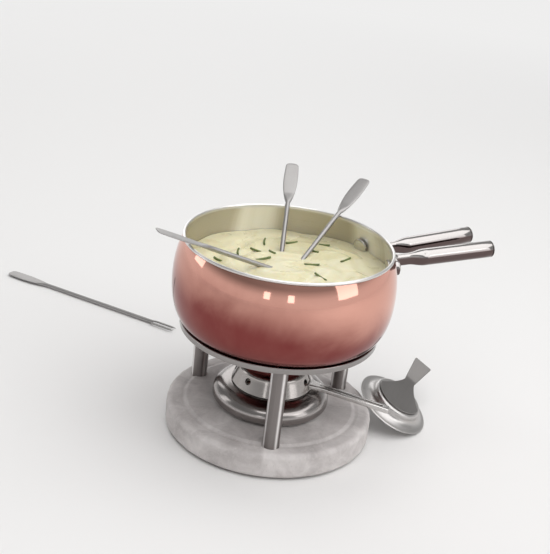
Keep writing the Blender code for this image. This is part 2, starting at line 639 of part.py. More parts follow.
body_outer = [(BURNER_MOUTH_RADIUS, BURNER_HEIGHT)]
body_outer += arc((BURNER_COLLAR_RADIUS, BURNER_BAND_TOP),
                  (BURNER_RADIUS - BURNER_COLLAR_RADIUS, BURNER_HEIGHT - BURNER_BAND_TOP),
                  quarter, 0.0, 6)
body_outer += arc((BURNER_FOOT_RADIUS, BURNER_BAND_BOTTOM),
                  (BURNER_RADIUS - BURNER_FOOT_RADIUS, BURNER_BAND_BOTTOM), 0.0, -quarter, 4)
body_outer += [(0.0, 0.0)]
body_inner = [(0.0, BURNER_WALL)]
body_inner += arc((BURNER_FOOT_RADIUS, BURNER_BAND_BOTTOM),
                  (BURNER_RADIUS - BURNER_FOOT_RADIUS - BURNER_WALL, BURNER_BAND_BOTTOM - BURNER_WALL),
                  -quarter, 0.0, 3)
body_inner += arc((BURNER_COLLAR_RADIUS, BURNER_BAND_TOP),
                  (BURNER_RADIUS - BURNER_COLLAR_RADIUS - BURNER_WALL,
                   BURNER_HEIGHT - BURNER_BAND_TOP - BURNER_WALL), 0.0, quarter, 4)
body_inner += [(BURNER_MOUTH_RADIUS, BURNER_HEIGHT - BURNER_WALL)]
turned("burner_body", [(r, burner_z + z) for r, z in body_inner + body_outer], polished,
       steps=SPUN_STEPS)

cup_floor = burner_z + CUP_FLOOR
cup_inner = cup_radius - CUP_WALL
flange_radius = BURNER_COLLAR_RADIUS - CUP_FLANGE_INSET
turned("fuel_cup", [(0.0, cup_floor + CUP_WALL), (cup_inner - CUP_WALL, cup_floor + CUP_WALL),
                    (cup_inner, cup_floor + 2.0 * CUP_WALL), (cup_inner, flange_top),
                    (flange_radius, flange_top), (flange_radius, flange_bottom),
                    (cup_radius, flange_bottom), (cup_radius, cup_floor + 2.0 * CUP_WALL),
                    (cup_inner, cup_floor), (0.0, cup_floor)], satin, steps=SPUN_STEPS)

wick_bottom = cup_floor + 2.0 * CUP_WALL + CLEAR
wick_top = wick_bottom + WICK_THICK
wick_radius = cup_inner - CLEAR
turned("wick_pad", [(0.0, wick_top), (wick_radius, wick_top), (wick_radius, wick_bottom),
                    (0.0, wick_bottom)], wool, steps=SPUN_STEPS)
gauze_bottom = wick_top + CLEAR
gauze_top = gauze_bottom + GAUZE_THICK
gauze = turned("wick_gauze", [(0.0, gauze_top), (wick_radius, gauze_top), (wick_radius, gauze_bottom),
                              (0.0, gauze_bottom)], satin, steps=SPUN_STEPS)
gauze_cut_mesh = baked(drill("gauze_hole", GAUZE_HOLE_RADIUS, (0.0, 0.0, gauze_bottom - CUT_MARGIN),
                             (0.0, 0.0, gauze_top + CUT_MARGIN), steps=GAUZE_HOLE_SIDES))
gauze_circles = (GAUZE_OUTER_CIRCLE, GAUZE_INNER_CIRCLE)
gauze_spots = [around(i * 2.0 * math.pi / GAUZE_HOLE_COUNT, gauze_circles[i % 2])
               for i in range(GAUZE_HOLE_COUNT)]
combine(gauze, gang_cutter("gauze_holes", gauze_cut_mesh, gauze_spots))

cover_side = Vector((COVER_SHOULDER_RADIUS - BURNER_COLLAR_RADIUS, COVER_SHOULDER_HEIGHT))
cover_normal = Vector((cover_side.y, -cover_side.x)).normalized()


def on_cover(height, depth=0.0):
    """Radius and height of the cover's cone, moved in along its normal by depth."""
    share = height / COVER_SHOULDER_HEIGHT
    radius = BURNER_COLLAR_RADIUS + cover_side.x * share
    return radius - cover_normal.x * depth, cover_z + height - cover_normal.y * depth


collar_out = COVER_WALL + COLLAR_GAP
collar_in = collar_out + COLLAR_WALL
collar_lift = cover_normal.y * collar_in
collar = turned("air_collar", [on_cover(COLLAR_HEIGHT + collar_lift, collar_out),
                               on_cover(collar_lift, collar_out), on_cover(collar_lift, collar_in),
                               on_cover(COLLAR_HEIGHT + collar_lift, collar_in)], satin, closed=True,
                steps=SPUN_STEPS)

# Regulator: a cover that turns over the collar, with a folded handle welded to its foot

cover_top = cover_z + COVER_HEIGHT
shoulder = (COVER_SHOULDER_RADIUS, cover_z + COVER_SHOULDER_HEIGHT)
crown = (COVER_SHOULDER_RADIUS - COVER_MOUTH_RADIUS, cover_top - shoulder[1])
cover_outer = arc((COVER_MOUTH_RADIUS, shoulder[1]), crown, quarter, 0.0, 5)
cover_outer += [(BURNER_COLLAR_RADIUS, cover_z)]
foot_inner = on_cover(0.0, COVER_WALL)
cover_inner = [(foot_inner[0] + cover_normal.y * COVER_WALL, cover_z),
               on_cover(COVER_SHOULDER_HEIGHT, COVER_WALL)]
cover_inner += arc((COVER_MOUTH_RADIUS, shoulder[1]), (crown[0] - COVER_WALL, crown[1] - COVER_WALL),
                   COVER_CROWN_START, quarter, 4)
cover = turned("regulator_cover", cover_outer + cover_inner, polished, closed=True,
               steps=SPUN_STEPS)

hole_centre = on_cover(AIR_HOLE_HEIGHT)
hole_axis = Vector((cover_normal.x, 0.0, cover_normal.y))
for i in range(AIR_HOLE_COUNT):
    spin = around(AIR_HOLE_AZIMUTH + i * 2.0 * math.pi / AIR_HOLE_COUNT)
    middle = Vector((hole_centre[0], 0.0, hole_centre[1]))
    hole = drill(f"air_hole_{i + 1}", AIR_HOLE_RADIUS, spin @ (middle - hole_axis * CUT_MARGIN),
                 spin @ (middle + hole_axis * CUT_MARGIN), steps=SCREW_STEPS)
    combine(cover, hole)
    combine(collar, hole)


def flat_outline(name, outline, thick):
    """A flat outline in XY, thickened evenly about its plane, as a welded mesh."""
    curve = bpy.data.curves.new(name, 'CURVE')
    curve.dimensions = '2D'
    curve.fill_mode = 'BOTH'
    curve.extrude = thick / 2.0
    spline = curve.splines.new('POLY')
    spline.points.add(len(outline) - 1)
    for point, (x, y) in zip(spline.points, outline):
        point.co = (x, y, 0.0, 1.0)
    spline.use_cyclic_u = True
    obj = bpy.data.objects.new(name, curve)
    cutters.objects.link(obj)
    return baked(obj)


def strip_outline(start, end, half_width):
    """A strip along X whose far end has round corners."""
    radius = half_width * REGULATOR_END_ROUND
    corner = arc((end - radius, half_width - radius), (radius, radius), 0.0, quarter, 4)
    other_corner = [(x, -y) for x, y in reversed(corner)]
    return [(start, -half_width)] + other_corner + corner + [(start, half_width)]


bar_end = REGULATOR_REACH / math.cos(REGULATOR_DROP)
bar_outline = strip_outline(0.0, bar_end, REGULATOR_HALF_WIDTH)
bar_outline[0] = (0.0, -REGULATOR_ROOT_HALF_WIDTH)
bar_outline[-1] = (0.0, REGULATOR_ROOT_HALF_WIDTH)
bar_outline.insert(1, (REGULATOR_ROOT_LENGTH, -REGULATOR_HALF_WIDTH))
bar_outline.insert(-1, (REGULATOR_ROOT_LENGTH, REGULATOR_HALF_WIDTH))
root_radius, root_z = on_cover(REGULATOR_HEIGHT)
bar_frame = (around(REGULATOR_AZIMUTH, root_radius, root_z)
             @ Matrix.Rotation(REGULATOR_DROP, 4, 'Y'))
regulator = place("regulator_handle", flat_outline("bar", bar_outline, REGULATOR_THICK), polished,
                  bar_frame)
rounding = regulator.modifiers.new("rounding", 'BEVEL')
rounding.width = REGULATOR_ROUND
rounding.segments = 2
rounding.limit_method = 'ANGLE'
rounding.angle_limit = REGULATOR_ROUND_ANGLE
groove_end = bar_end - REGULATOR_SLOT_END
hollow = place("bar_hollow", flat_outline("bar_hollow", strip_outline(
    REGULATOR_ROOT_LENGTH, groove_end, REGULATOR_HALF_WIDTH - REGULATOR_SHEET),
    REGULATOR_THICK - 2.0 * REGULATOR_SHEET), None, bar_frame, cutters)
slot = place("bar_slot", flat_outline("bar_slot", strip_outline(
    REGULATOR_ROOT_LENGTH, groove_end, REGULATOR_SLOT / 2.0), REGULATOR_THICK), None,
    bar_frame @ Matrix.Translation((0.0, 0.0, REGULATOR_THICK / 2.0)), cutters)
combine(regulator, hollow)
combine(regulator, slot)
flange_middle = -CLEAR - FLANGE_THICK / 2.0
seat_top = on_cover(COVER_SHOULDER_HEIGHT, flange_middle)
seat_foot = on_cover(-CUT_MARGIN, flange_middle)
combine(regulator, turned("regulator_seat", [(0.0, seat_top[1]), seat_top, seat_foot, (0.0, seat_foot[1])],
                          None, collection=cutters))
flange_rings = []
for angle in np.linspace(-FLANGE_HALF_ANGLE, FLANGE_HALF_ANGLE, 6):
    ring = []
    for height, depth in ((0.0, -CLEAR), (0.0, -CLEAR - FLANGE_THICK),
                          (FLANGE_HEIGHT, -CLEAR - FLANGE_THICK), (FLANGE_HEIGHT, -CLEAR)):
        radius, level = on_cover(height + CLEAR, depth)
        ring.append(around(REGULATOR_AZIMUTH + angle, radius, level).translation)
    flange_rings.append(ring)
combine(regulator, loft("regulator_flange", flange_rings, None, cutters), 'UNION')

# Snuffer: a spun cap that leans on the stone's edge, with a plate whose tail is the grip

lid_reach = stone_radius + LID_STANDOFF
lid_spot = Vector((math.cos(LID_AZIMUTH) * lid_reach, math.sin(LID_AZIMUTH) * lid_reach, 0.0))


def lid_turn(lean):
    """Rotation of the lid for a lean away from the stone."""
    return (Matrix.Rotation(LID_LEAN_AZIMUTH, 4, 'Z') @ Matrix.Rotation(lean, 4, 'Y')
            @ Matrix.Rotation(TAIL_AZIMUTH - LID_LEAN_AZIMUTH, 4, 'Z'))


def lid_height(lean):
    """Height of the brim's centre with its lowest point on the table."""
    return LID_RADIUS * math.sin(lean) + CLEAR


def lid_clears(lean):
    """Whether the leaning brim passes over the stone's edge."""
    turn = lid_turn(lean)
    centre = lid_spot + Vector((0.0, 0.0, lid_height(lean)))
    for t in np.linspace(0.0, 2.0 * math.pi, LID_BRIM_SAMPLES):
        brim = Vector((LID_RADIUS * math.cos(t), LID_RADIUS * math.sin(t), 0.0))
        point = centre + turn.to_3x3() @ brim
        if math.hypot(point.x, point.y) < stone_radius and point.z < margin_top + CLEAR:
            return False
    return True


lid_lean = bisect(LID_STEEPEST, 0.0, lid_clears)
lid_centre = lid_spot + Vector((0.0, 0.0, lid_height(lid_lean)))
lid_rest = bpy.data.objects.new("snuffer_rest", None)
lid_rest.matrix_world = Matrix.Translation(lid_centre) @ lid_turn(lid_lean)
parts.objects.link(lid_rest)

flare = LID_RADIUS - LID_SHOULDER_RADIUS
skirt = LID_HEIGHT - LID_SHOULDER_DROP - LID_WALL
lid_outer = [(0.0, LID_HEIGHT)]
lid_outer += arc((LID_TOP_RADIUS, LID_HEIGHT - LID_SHOULDER_DROP),
                 (LID_SHOULDER_RADIUS - LID_TOP_RADIUS, LID_SHOULDER_DROP), quarter, 0.0, 4)
lid_outer += arc((LID_RADIUS, LID_HEIGHT - LID_SHOULDER_DROP), (flare, skirt),
                 math.pi, math.pi + quarter, 4)[1:]
lid_outer += [(LID_RADIUS, 0.0)]
lid_inner = arc((LID_RADIUS, LID_HEIGHT - LID_SHOULDER_DROP), (flare + LID_WALL, skirt + LID_WALL),
                math.pi + quarter - LID_BRIM_START, math.pi, 4)
lid_inner[0] = (lid_inner[0][0], 0.0)
lid_inner += arc((LID_TOP_RADIUS, LID_HEIGHT - LID_SHOULDER_DROP),
                 (LID_SHOULDER_RADIUS - LID_TOP_RADIUS - LID_WALL, LID_SHOULDER_DROP - LID_WALL),
                 0.0, quarter, 3)[1:]
lid_inner += [(0.0, LID_HEIGHT - LID_WALL)]
turned("snuffer_cap", lid_outer + lid_inner, satin, steps=SPUN_STEPS).parent = lid_rest


def plate_half_width(along):
    """Half width of the plate: a round front, a hollow taper to the neck, a flared tail."""
    if along <= 0.0:
        return math.sqrt(max(PLATE_RADIUS ** 2 - along ** 2, 0.0))
    if along <= TAIL_NECK_AT:
        left = 1.0 - along / TAIL_NECK_AT
        return TAIL_NECK_HALF_WIDTH + (PLATE_RADIUS - TAIL_NECK_HALF_WIDTH) * left ** TAIL_TAPER_POWER
    share = (along - TAIL_NECK_AT) / TAIL_LENGTH
    return TAIL_NECK_HALF_WIDTH + (TAIL_END_HALF_WIDTH - TAIL_NECK_HALF_WIDTH) * share


def plate_height(along):
    """Rise of the plate's underside: flat over the cap, then turned up along the tail."""
    past = along - TAIL_NECK_AT
    if past <= 0.0:
        return 0.0
    if past <= TAIL_BEND:
        return math.tan(TAIL_RISE) * past * past / (2.0 * TAIL_BEND)
    return math.tan(TAIL_RISE) * (past - TAIL_BEND / 2.0)


front = [-PLATE_RADIUS * math.cos(t) for t in np.linspace(ROUND_END_START, quarter, 8)]
taper = list(np.linspace(0.0, TAIL_NECK_AT, 8))[1:]
bend = list(TAIL_NECK_AT + np.linspace(0.0, TAIL_BEND, 4))[1:]
plate_rings = []
for along in front + taper + bend + [TAIL_NECK_AT + TAIL_LENGTH * math.cos(TAIL_RISE)]:
    half = plate_half_width(along)
    low = LID_HEIGHT + CLEAR + plate_height(along)
    high = low + PLATE_THICK
    corners = ((-half, low), (half, low), (half, high), (-half, high))
    plate_rings.append([(along, y, z) for y, z in corners])
loft("snuffer_plate", plate_rings, satin).parent = lid_rest

# Forks: forged shaft flattened into a leaf-shaped grip, with two tines

paddle_start = FORK_LENGTH - FORK_PADDLE_LENGTH
tine_root = FORK_TINE_LENGTH + FORK_TINE_HALF_GAP


def fork_section(along):
    """Half width and half thickness of the fork: round shaft, then a flat leaf."""
    past = along - paddle_start
    if past <= 0.0:
        return FORK_SHAFT_RADIUS, FORK_SHAFT_RADIUS
    if past < FORK_PADDLE_WIDEST:
        spread = math.sin(quarter * past / FORK_PADDLE_WIDEST) ** FORK_PADDLE_POWER
    else:
        beyond = (past - FORK_PADDLE_WIDEST) / (FORK_PADDLE_LENGTH - FORK_PADDLE_WIDEST)
        spread = 1.0 - (1.0 - FORK_PADDLE_END) * beyond ** 2
    flat = smooth(past / FORK_PADDLE_NECK)
    width = FORK_SHAFT_RADIUS + (FORK_PADDLE_HALF_WIDTH - FORK_SHAFT_RADIUS) * spread
    thick = FORK_SHAFT_RADIUS + (FORK_PADDLE_HALF_THICK - FORK_SHAFT_RADIUS) * flat
    corner = max(0.0, along - FORK_LENGTH + FORK_END_ROUND)
    width -= FORK_END_ROUND - math.sqrt(max(0.0, FORK_END_ROUND ** 2 - corner ** 2))
    return width, thick


fork_rings = []
fork_stations = [tine_root - FORK_TINE_RADIUS, paddle_start]
fork_stations += list(paddle_start + FORK_PADDLE_LENGTH * np.linspace(0.0, 1.0, 11)[1:-1])
fork_stations += [FORK_LENGTH - FORK_END_ROUND * (1.0 - math.sin(quarter * share / 3.0)) for share in range(4)]
for along in fork_stations:
    width, thick = fork_section(along)
    oval = arc((0.0, 0.0), (width, thick), 0.0, 2.0 * math.pi, 9)[:-1]
    fork_rings.append([(along, y, z) for y, z in oval])
fork = loft("fork", fork_rings, satin)

tine_path = [(0.0, -FORK_TINE_HALF_GAP), (FORK_TINE_POINT, -FORK_TINE_HALF_GAP)]
tine_path += [(FORK_TINE_LENGTH + x, y) for x, y in
              arc((0.0, 0.0), (FORK_TINE_HALF_GAP, FORK_TINE_HALF_GAP), -quarter, quarter, 7)]
tine_path += [(FORK_TINE_POINT, FORK_TINE_HALF_GAP), (0.0, FORK_TINE_HALF_GAP)]
tine_curve = bpy.data.curves.new("tines", 'CURVE')
tine_curve.dimensions = '3D'
tine_curve.bevel_depth = FORK_TINE_RADIUS
tine_curve.bevel_resolution = 1
tine_curve.use_fill_caps = True
tine_spline = tine_curve.splines.new('POLY')
tine_spline.points.add(len(tine_path) - 1)
for point, (x, y) in zip(tine_spline.points, tine_path):
    point.co = (x, y, 0.0, 1.0)
    point.radius = FORK_TINE_TIP if x == 0.0 else 1.0
tine_object = bpy.data.objects.new("tines", tine_curve)
cutters.objects.link(tine_object)
tines = place("fork_tines", baked(tine_object), None, collection=cutters)
combine(fork, tines, 'UNION')
fork_mesh = baked(fork)


def rim_point(azimuth, heading, tilt):
    """Where a fork's axis passes over the rim bead, and its direction from tip to grip."""
    along = Vector((math.cos(heading) * math.cos(tilt), math.sin(heading) * math.cos(tilt),
                    math.sin(tilt)))
    tangent = Vector((-math.sin(azimuth), math.cos(azimuth), 0.0))
    lift = along.cross(tangent).normalized()
    bead_spot = Vector((bead_circle * math.cos(azimuth), bead_circle * math.sin(azimuth), bead_z))
    return bead_spot + lift * (BEAD_RADIUS + FORK_SHAFT_RADIUS + CLEAR), along


def floor_run(point, along):
    """Length from the rim down to the pot's floor, where the tip rests."""
    return (point.z - inside_floor - FORK_TINE_RADIUS - CLEAR) / along.z


def wall_run(point, along):
    """Length from the rim across to the far wall, where the tip rests."""
    def tip_is_free(length):
        tip = point - along * length
        above_floor = tip.z > inside_floor + 2.0 * CLEAR + FORK_TINE_RADIUS
        return above_floor and math.hypot(tip.x, tip.y) + FORK_TINE_HALF_GAP < pot_radius(tip.z, wall)

    return bisect(POT_FLAT_RADIUS, FORK_LENGTH, tip_is_free)


def fork_at(name, point, along, run_inside):
    """A fork on its rim point with a given length of it inside the pot."""
    return place(name, fork_mesh, satin, axis_frame(point - along * run_inside, along))


back_point, back_along = rim_point(BACK_FORK_AZIMUTH, BACK_FORK_HEADING, BACK_FORK_TILT)
fork_at("fork_back", back_point, back_along, floor_run(back_point, back_along))

left_point, left_along = rim_point(LEFT_FORK_AZIMUTH, LEFT_FORK_HEADING, LEFT_FORK_TILT)
fork_at("fork_left", left_point, left_along, wall_run(left_point, left_along))


def crossing_gap(tilt):
    """How far the right fork passes over the back one, where they cross."""
    point, along = rim_point(RIGHT_FORK_AZIMUTH, RIGHT_FORK_HEADING, tilt)
    normal = along.cross(back_along).normalized()
    if normal.z < 0.0:
        normal = -normal
    return (point - back_point).dot(normal) - 2.0 * FORK_SHAFT_RADIUS - CLEAR


right_tilt = bisect(RIGHT_FORK_FLATTEST, BACK_FORK_TILT, lambda tilt: crossing_gap(tilt) > 0.0)
right_point, right_along = rim_point(RIGHT_FORK_AZIMUTH, RIGHT_FORK_HEADING, right_tilt)
right_run = floor_run(back_point, back_along) - CLEAR
fork_at("fork_right", right_point, right_along, right_run)

table_along = Vector((math.cos(TABLE_FORK_HEADING), math.sin(TABLE_FORK_HEADING), 0.0))
place("fork_table", fork_mesh, satin,
      axis_frame((TABLE_FORK_TIP[0], TABLE_FORK_TIP[1], FORK_SHAFT_RADIUS), table_along))
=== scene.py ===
import math

import bmesh
import bpy
import numpy as np
from mathutils import Matrix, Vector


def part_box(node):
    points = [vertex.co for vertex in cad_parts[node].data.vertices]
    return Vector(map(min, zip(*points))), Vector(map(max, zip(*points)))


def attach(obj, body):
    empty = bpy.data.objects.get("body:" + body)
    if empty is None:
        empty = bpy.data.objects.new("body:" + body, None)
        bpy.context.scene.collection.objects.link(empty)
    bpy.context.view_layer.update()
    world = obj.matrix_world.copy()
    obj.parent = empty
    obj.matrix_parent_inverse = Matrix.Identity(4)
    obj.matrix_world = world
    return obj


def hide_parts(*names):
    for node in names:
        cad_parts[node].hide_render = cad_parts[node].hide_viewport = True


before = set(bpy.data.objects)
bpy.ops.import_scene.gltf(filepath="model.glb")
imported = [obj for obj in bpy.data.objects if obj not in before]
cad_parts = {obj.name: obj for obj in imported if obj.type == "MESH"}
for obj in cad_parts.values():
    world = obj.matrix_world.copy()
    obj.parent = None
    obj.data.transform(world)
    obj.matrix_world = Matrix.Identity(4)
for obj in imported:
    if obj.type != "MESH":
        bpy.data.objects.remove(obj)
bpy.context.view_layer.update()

# Felt pad: a dark pressed-wool disc glued under the stone so that it doesn't scratch the table.
# It is die-cut from sheet, so its edge is square and only a little fluffed.
PAD_ROUNDS = (0.0, 0.0005, 0.0003, 0.0)
FELT_TONES = ((0.020, 0.019, 0.018, 1.0), (0.075, 0.072, 0.068, 1.0))
FELT_FLUFF = 0.0004


def rod(radius, top, bottom):
    """Profile of a plain disc or rod on the axis: out along its top, down its side and back underneath."""
    return [(0.0, top), (radius, top), (radius, bottom), (0.0, bottom)]


def rounded(corners, radii, steps=6, closed=False, most=0.42, flat=1.15):
    """A profile whose corners are arcs. Each corner is cut back along both of its sides by the radius
    over the tangent of half its angle, but by at most a share of the side. The arc is swung about the
    point where the two cuts' normals meet, and a point beyond each cut keeps the flats flat in shading."""
    corners = np.asarray(corners, float)
    count = len(corners)
    line = []
    for i, (corner, radius) in enumerate(zip(corners, radii)):
        if radius <= 0.0 or (not closed and i in (0, count - 1)):
            line.append(corner[None])
            continue
        back = corners[i - 1] - corner
        ahead = corners[(i + 1) % count] - corner
        back_length, ahead_length = np.linalg.norm(back), np.linalg.norm(ahead)
        back, ahead = back / back_length, ahead / ahead_length
        half = math.acos(np.clip(back @ ahead, -0.9999, 0.9999)) / 2.0
        cut = min(radius / math.tan(half), most * min(back_length, ahead_length))
        centre = corner + (back + ahead) / np.linalg.norm(back + ahead) * cut / math.cos(half)
        first, last = corner + back * cut - centre, corner + ahead * cut - centre
        swing = math.pi - 2.0 * half
        share = np.linspace(0.0, 1.0, steps)[:, None]
        arc = (np.sin((1.0 - share) * swing) * first + np.sin(share * swing) * last) / math.sin(swing)
        line += [corner[None] + back * cut * flat, centre + arc, corner[None] + ahead * cut * flat]
    return np.concatenate(line)


def whole_turn(steps):
    """Angles evenly spaced round a whole turn."""
    return np.linspace(0.0, 2.0 * math.pi, steps, endpoint=False)


def round_axis(radius, turn, height):
    """Points about Z: the radius times the cosine and the sine of a turn, at a height."""
    return np.stack(np.broadcast_arrays(radius * np.cos(turn), radius * np.sin(turn), height), axis=-1)


def turned(profile, steps):
    """A surface of revolution about Z: each (radius, height) point of the profile becomes a row of points
    evenly spaced round a whole turn."""
    radius, height = np.asarray(profile, float).T[..., None]
    return round_axis(radius, whole_turn(steps), height)


def moved(grid, axes, place=(0.0, 0.0, 0.0)):
    """A grid turned by a matrix whose columns are the new axes, then shifted to a place."""
    return grid @ axes.T + np.asarray(place, float)


def skinned(name, grids, ring=False, crease=50.0, weld=1e-7):
    """A mesh over grids of points. Every grid closes around its columns, and around its rows too
    where it is a ring; a row that has shrunk to one point is welded into a pole."""
    points, faces, offset = [], [], 0
    for grid in grids:
        rows, columns = grid.shape[:2]
        index = offset + np.arange(rows * columns).reshape(rows, columns)
        near = index if ring else index[:-1]
        far = np.roll(index, -1, axis=0) if ring else index[1:]
        quads = np.stack([near, np.roll(near, -1, axis=1), np.roll(far, -1, axis=1), far], axis=-1)
        points.append(grid.reshape(-1, 3))
        faces.append(quads.reshape(-1, 4))
        offset += rows * columns
    mesh = bpy.data.meshes.new(name)
    mesh.from_pydata(np.concatenate(points), [], np.concatenate(faces).tolist())
    work = bmesh.new()
    work.from_mesh(mesh)
    bmesh.ops.remove_doubles(work, verts=work.verts, dist=weld)
    bmesh.ops.recalc_face_normals(work, faces=work.faces)
    work.to_mesh(mesh)
    work.free()
    mesh.shade_smooth()
    mesh.set_sharp_from_angle(angle=math.radians(crease))
    made = bpy.data.objects.new(name, mesh)
    bpy.context.scene.collection.objects.link(made)
    return made


def fitted(made, finish, body, slot, *nodes):
    """Give a piece its finish, let it ride on its body and stand for its nodes of the frame."""
    made.data.materials.clear()
    made.data.materials.append(finish)
    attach(made, body)
    if nodes:
        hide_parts(*nodes)


def new_finish(name, **constants):
    """A Principled material with constants on the shader's own sockets."""
    finish = bpy.data.materials.new(name)
    finish.use_nodes = True
    shader = finish.node_tree.nodes["Principled BSDF"]
    for socket, value in constants.items():
        shader.inputs[socket.replace("_", " ")].default_value = value
    return finish


def add(finish, kind, inputs, **settings):
    """A shader node with its settings; each input is a value or another node's output."""
    made = finish.node_tree.nodes.new("ShaderNode" + kind)
    for key, value in settings.items():
        setattr(made, key, value)
    for key, value in inputs.items():
        if isinstance(value, bpy.types.NodeSocket):
            finish.node_tree.links.new(value, made.inputs[key])
        else:
            made.inputs[key].default_value = value
    return made.outputs


def reckoned(finish, operation, *values):
    """One number worked out from others."""
    return add(finish, "Math", dict(enumerate(values)), operation=operation)[0]


def vector(finish, operation, *values):
    """A vector worked out from others, or with the output called Value their length or product."""
    return add(finish, "VectorMath", dict(enumerate(values)), operation=operation)


def feed(finish, socket, output):
    """Plug an output into a socket of the shader."""
    shader = finish.node_tree.nodes["Principled BSDF"]
    finish.node_tree.links.new(output, shader.inputs[socket])


def spot_on(finish):
    """The point on the piece, in its own Object coordinates."""
    return add(finish, "TexCoord", {})["Object"]


def object_place(finish, stretch=(1.0, 1.0, 1.0), turn=(0.0, 0.0, 0.0)):
    """The point on the piece, turned and then stretched along its axes."""
    turned_spot = add(finish, "Mapping", {"Vector": spot_on(finish), "Rotation": turn})[0]
    return vector(finish, 'MULTIPLY', turned_spot, stretch)[0]


def cloudy(finish, place, scale, detail=4.0, roughness=0.55, distortion=0.0):
    """Smooth noise from 0 to 1 at a place."""
    return add(finish, "TexNoise", {"Vector": place, "Scale": scale, "Detail": detail,
                                    "Roughness": roughness, "Distortion": distortion})[0]


def between(finish, amount, low, high, from_low=0.3, from_high=0.7, curve='LINEAR'):
    """A number that runs from low to high as an amount runs over its own range."""
    return add(finish, "MapRange", {"Value": amount, "From Min": from_low, "From Max": from_high,
                                    "To Min": low, "To Max": high}, interpolation_type=curve)[0]


def blended(finish, amount, low, high):
    """A colour that runs from low to high with an amount."""
    return add(finish, "Mix", {0: amount, 6: low, 7: high}, data_type='RGBA')[2]


def two_toned(finish, noise, tones):
    """A colour that goes from the first tone to the second as noise does."""
    return blended(finish, between(finish, noise, 0.0, 1.0), *tones)


def embossed(finish, height, depth, strength=1.0, under=None):
    """Bump of a given depth in metres, on top of another bump if there is one."""
    inputs = {"Height": height, "Distance": depth, "Strength": strength}
    if under is not None:
        inputs["Normal"] = under
    return add(finish, "Bump", inputs)[0]


felt = new_finish("pressed_felt", Roughness=0.95, Sheen_Weight=0.25)
fibres = cloudy(felt, object_place(felt), scale=900.0, detail=6.0, roughness=0.7, distortion=1.5)
feed(felt, "Base Color", two_toned(felt, fibres, FELT_TONES))
feed(felt, "Normal", embossed(felt, fibres, FELT_FLUFF))

pad_low, pad_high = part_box("base_pad")
pad_profile = rounded(rod(pad_high.x, pad_high.z, pad_low.z), PAD_ROUNDS, 4)
fitted(skinned("felt_pad", [turned(pad_profile, 180)]), felt, "stand", "felt", "base_pad")

# Stone base: a cast, honed slab of pale mottled stone. Its middle stands a little proud of the margin,
# its edges are rubbed round and slightly chipped, and three sockets in the top take the legs.
STONE_STEP_RADIUS = 0.0815
STONE_STEP = 0.0011
STONE_STEP_RUN = 0.0032
STONE_MOAT = 0.0006
STONE_ROUNDS = (0.0, 0.0030, 0.0030, 0.0080, 0.0050, 0.0030, 0.0)
STONE_FINEST = 0.0011
STONE_UNEVEN = 0.00022
STONE_WAVE = 0.012
STONE_FLATTEN = (0.85, 0.85, 0.0)
STONE_WEAR_RUN = 0.004
STONE_FOOT_RUN = 0.002
CHIP_COUNT = 26
CHIP_INSET = 0.0015
CHIP_SIZES = (0.0008, 0.0022)
CHIP_DEPTH = 0.25
STONE_TONES = ((0.420, 0.388, 0.381, 1.0), (0.690, 0.655, 0.642, 1.0))
STONE_SPECK_TONE = (0.655, 0.622, 0.606, 1.0)
STONE_SPECK_RUN = (0.0, 0.55, 0.52, 0.72)
STONE_PORE_TONE = (0.25, 0.225, 0.21, 1.0)
STONE_PORE_RUN = (0.35, 0.0, 0.0, 0.16)
STONE_PORE_REACH = 0.2
STONE_PORE_STRENGTH = 0.7
STONE_ROUGH = (0.72, 0.9)
STONE_RELIEF = 0.0006
STONE_PORE_DEPTH = 0.0002
STONE_GRIT = 0.00015
LEG_SOCKET = 0.0040
SOCKET_GAP = 0.0003
SCREW_HOLE_RADIUS = 0.0027
COUNTERBORE = (0.0056, 0.0055)
PAST_FACE = 0.0040
SLIVER = 2e-6


def uneven(points, scale, waves=24, seed=3, spread=(0.6, 1.7), gain=0.8):
    """Smooth unevenness between about -1 and 1: the sum of plane waves of random headings and phases,
    with lengths near the scale, over the root of their number, times a gain."""
    draw = np.random.default_rng(seed)
    heading = draw.normal(size=(waves, 3))
    heading /= np.linalg.norm(heading, axis=1, keepdims=True)
    stretch = 2.0 * math.pi / (scale * draw.uniform(*spread, waves))
    phase = draw.uniform(0.0, 2.0 * math.pi, waves)
    return np.cos(points @ (heading * stretch[:, None]).T + phase).sum(axis=-1) / math.sqrt(waves) * gain


def resampled(profile, longest):
    """A profile with extra points so that no step is longer than a given length."""
    profile = np.asarray(profile, float)
    steps = np.linalg.norm(np.diff(profile, axis=0), axis=1)
    parts = [np.linspace(a, b, max(2, int(math.ceil(s / longest)) + 1))[:-1]
             for a, b, s in zip(profile, profile[1:], steps)]
    return np.concatenate(parts + [profile[-1:]])


def worked(made, tools, operation='DIFFERENCE', crease=50.0):
    """Cut the tools' shapes out of a piece for good, or weld them onto it, merge the slivers that this
    leaves and take the tools away."""
    for tool in tools:
        cut = made.modifiers.new(tool.name, 'BOOLEAN')
        cut.operation = operation
        cut.solver = 'EXACT'
        cut.object = tool
    bpy.context.view_layer.update()
    graph = bpy.context.evaluated_depsgraph_get()
    mesh = bpy.data.meshes.new_from_object(made.evaluated_get(graph))
    made.modifiers.clear()
    work = bmesh.new()
    work.from_mesh(mesh)
    bmesh.ops.remove_doubles(work, verts=work.verts, dist=SLIVER)
    bmesh.ops.dissolve_degenerate(work, edges=work.edges, dist=SLIVER)
    work.to_mesh(mesh)
    work.free()
    mesh.set_sharp_from_angle(angle=math.radians(crease))
    made.data = mesh
    for tool in tools:
        bpy.data.objects.remove(tool, do_unlink=True)
    return made


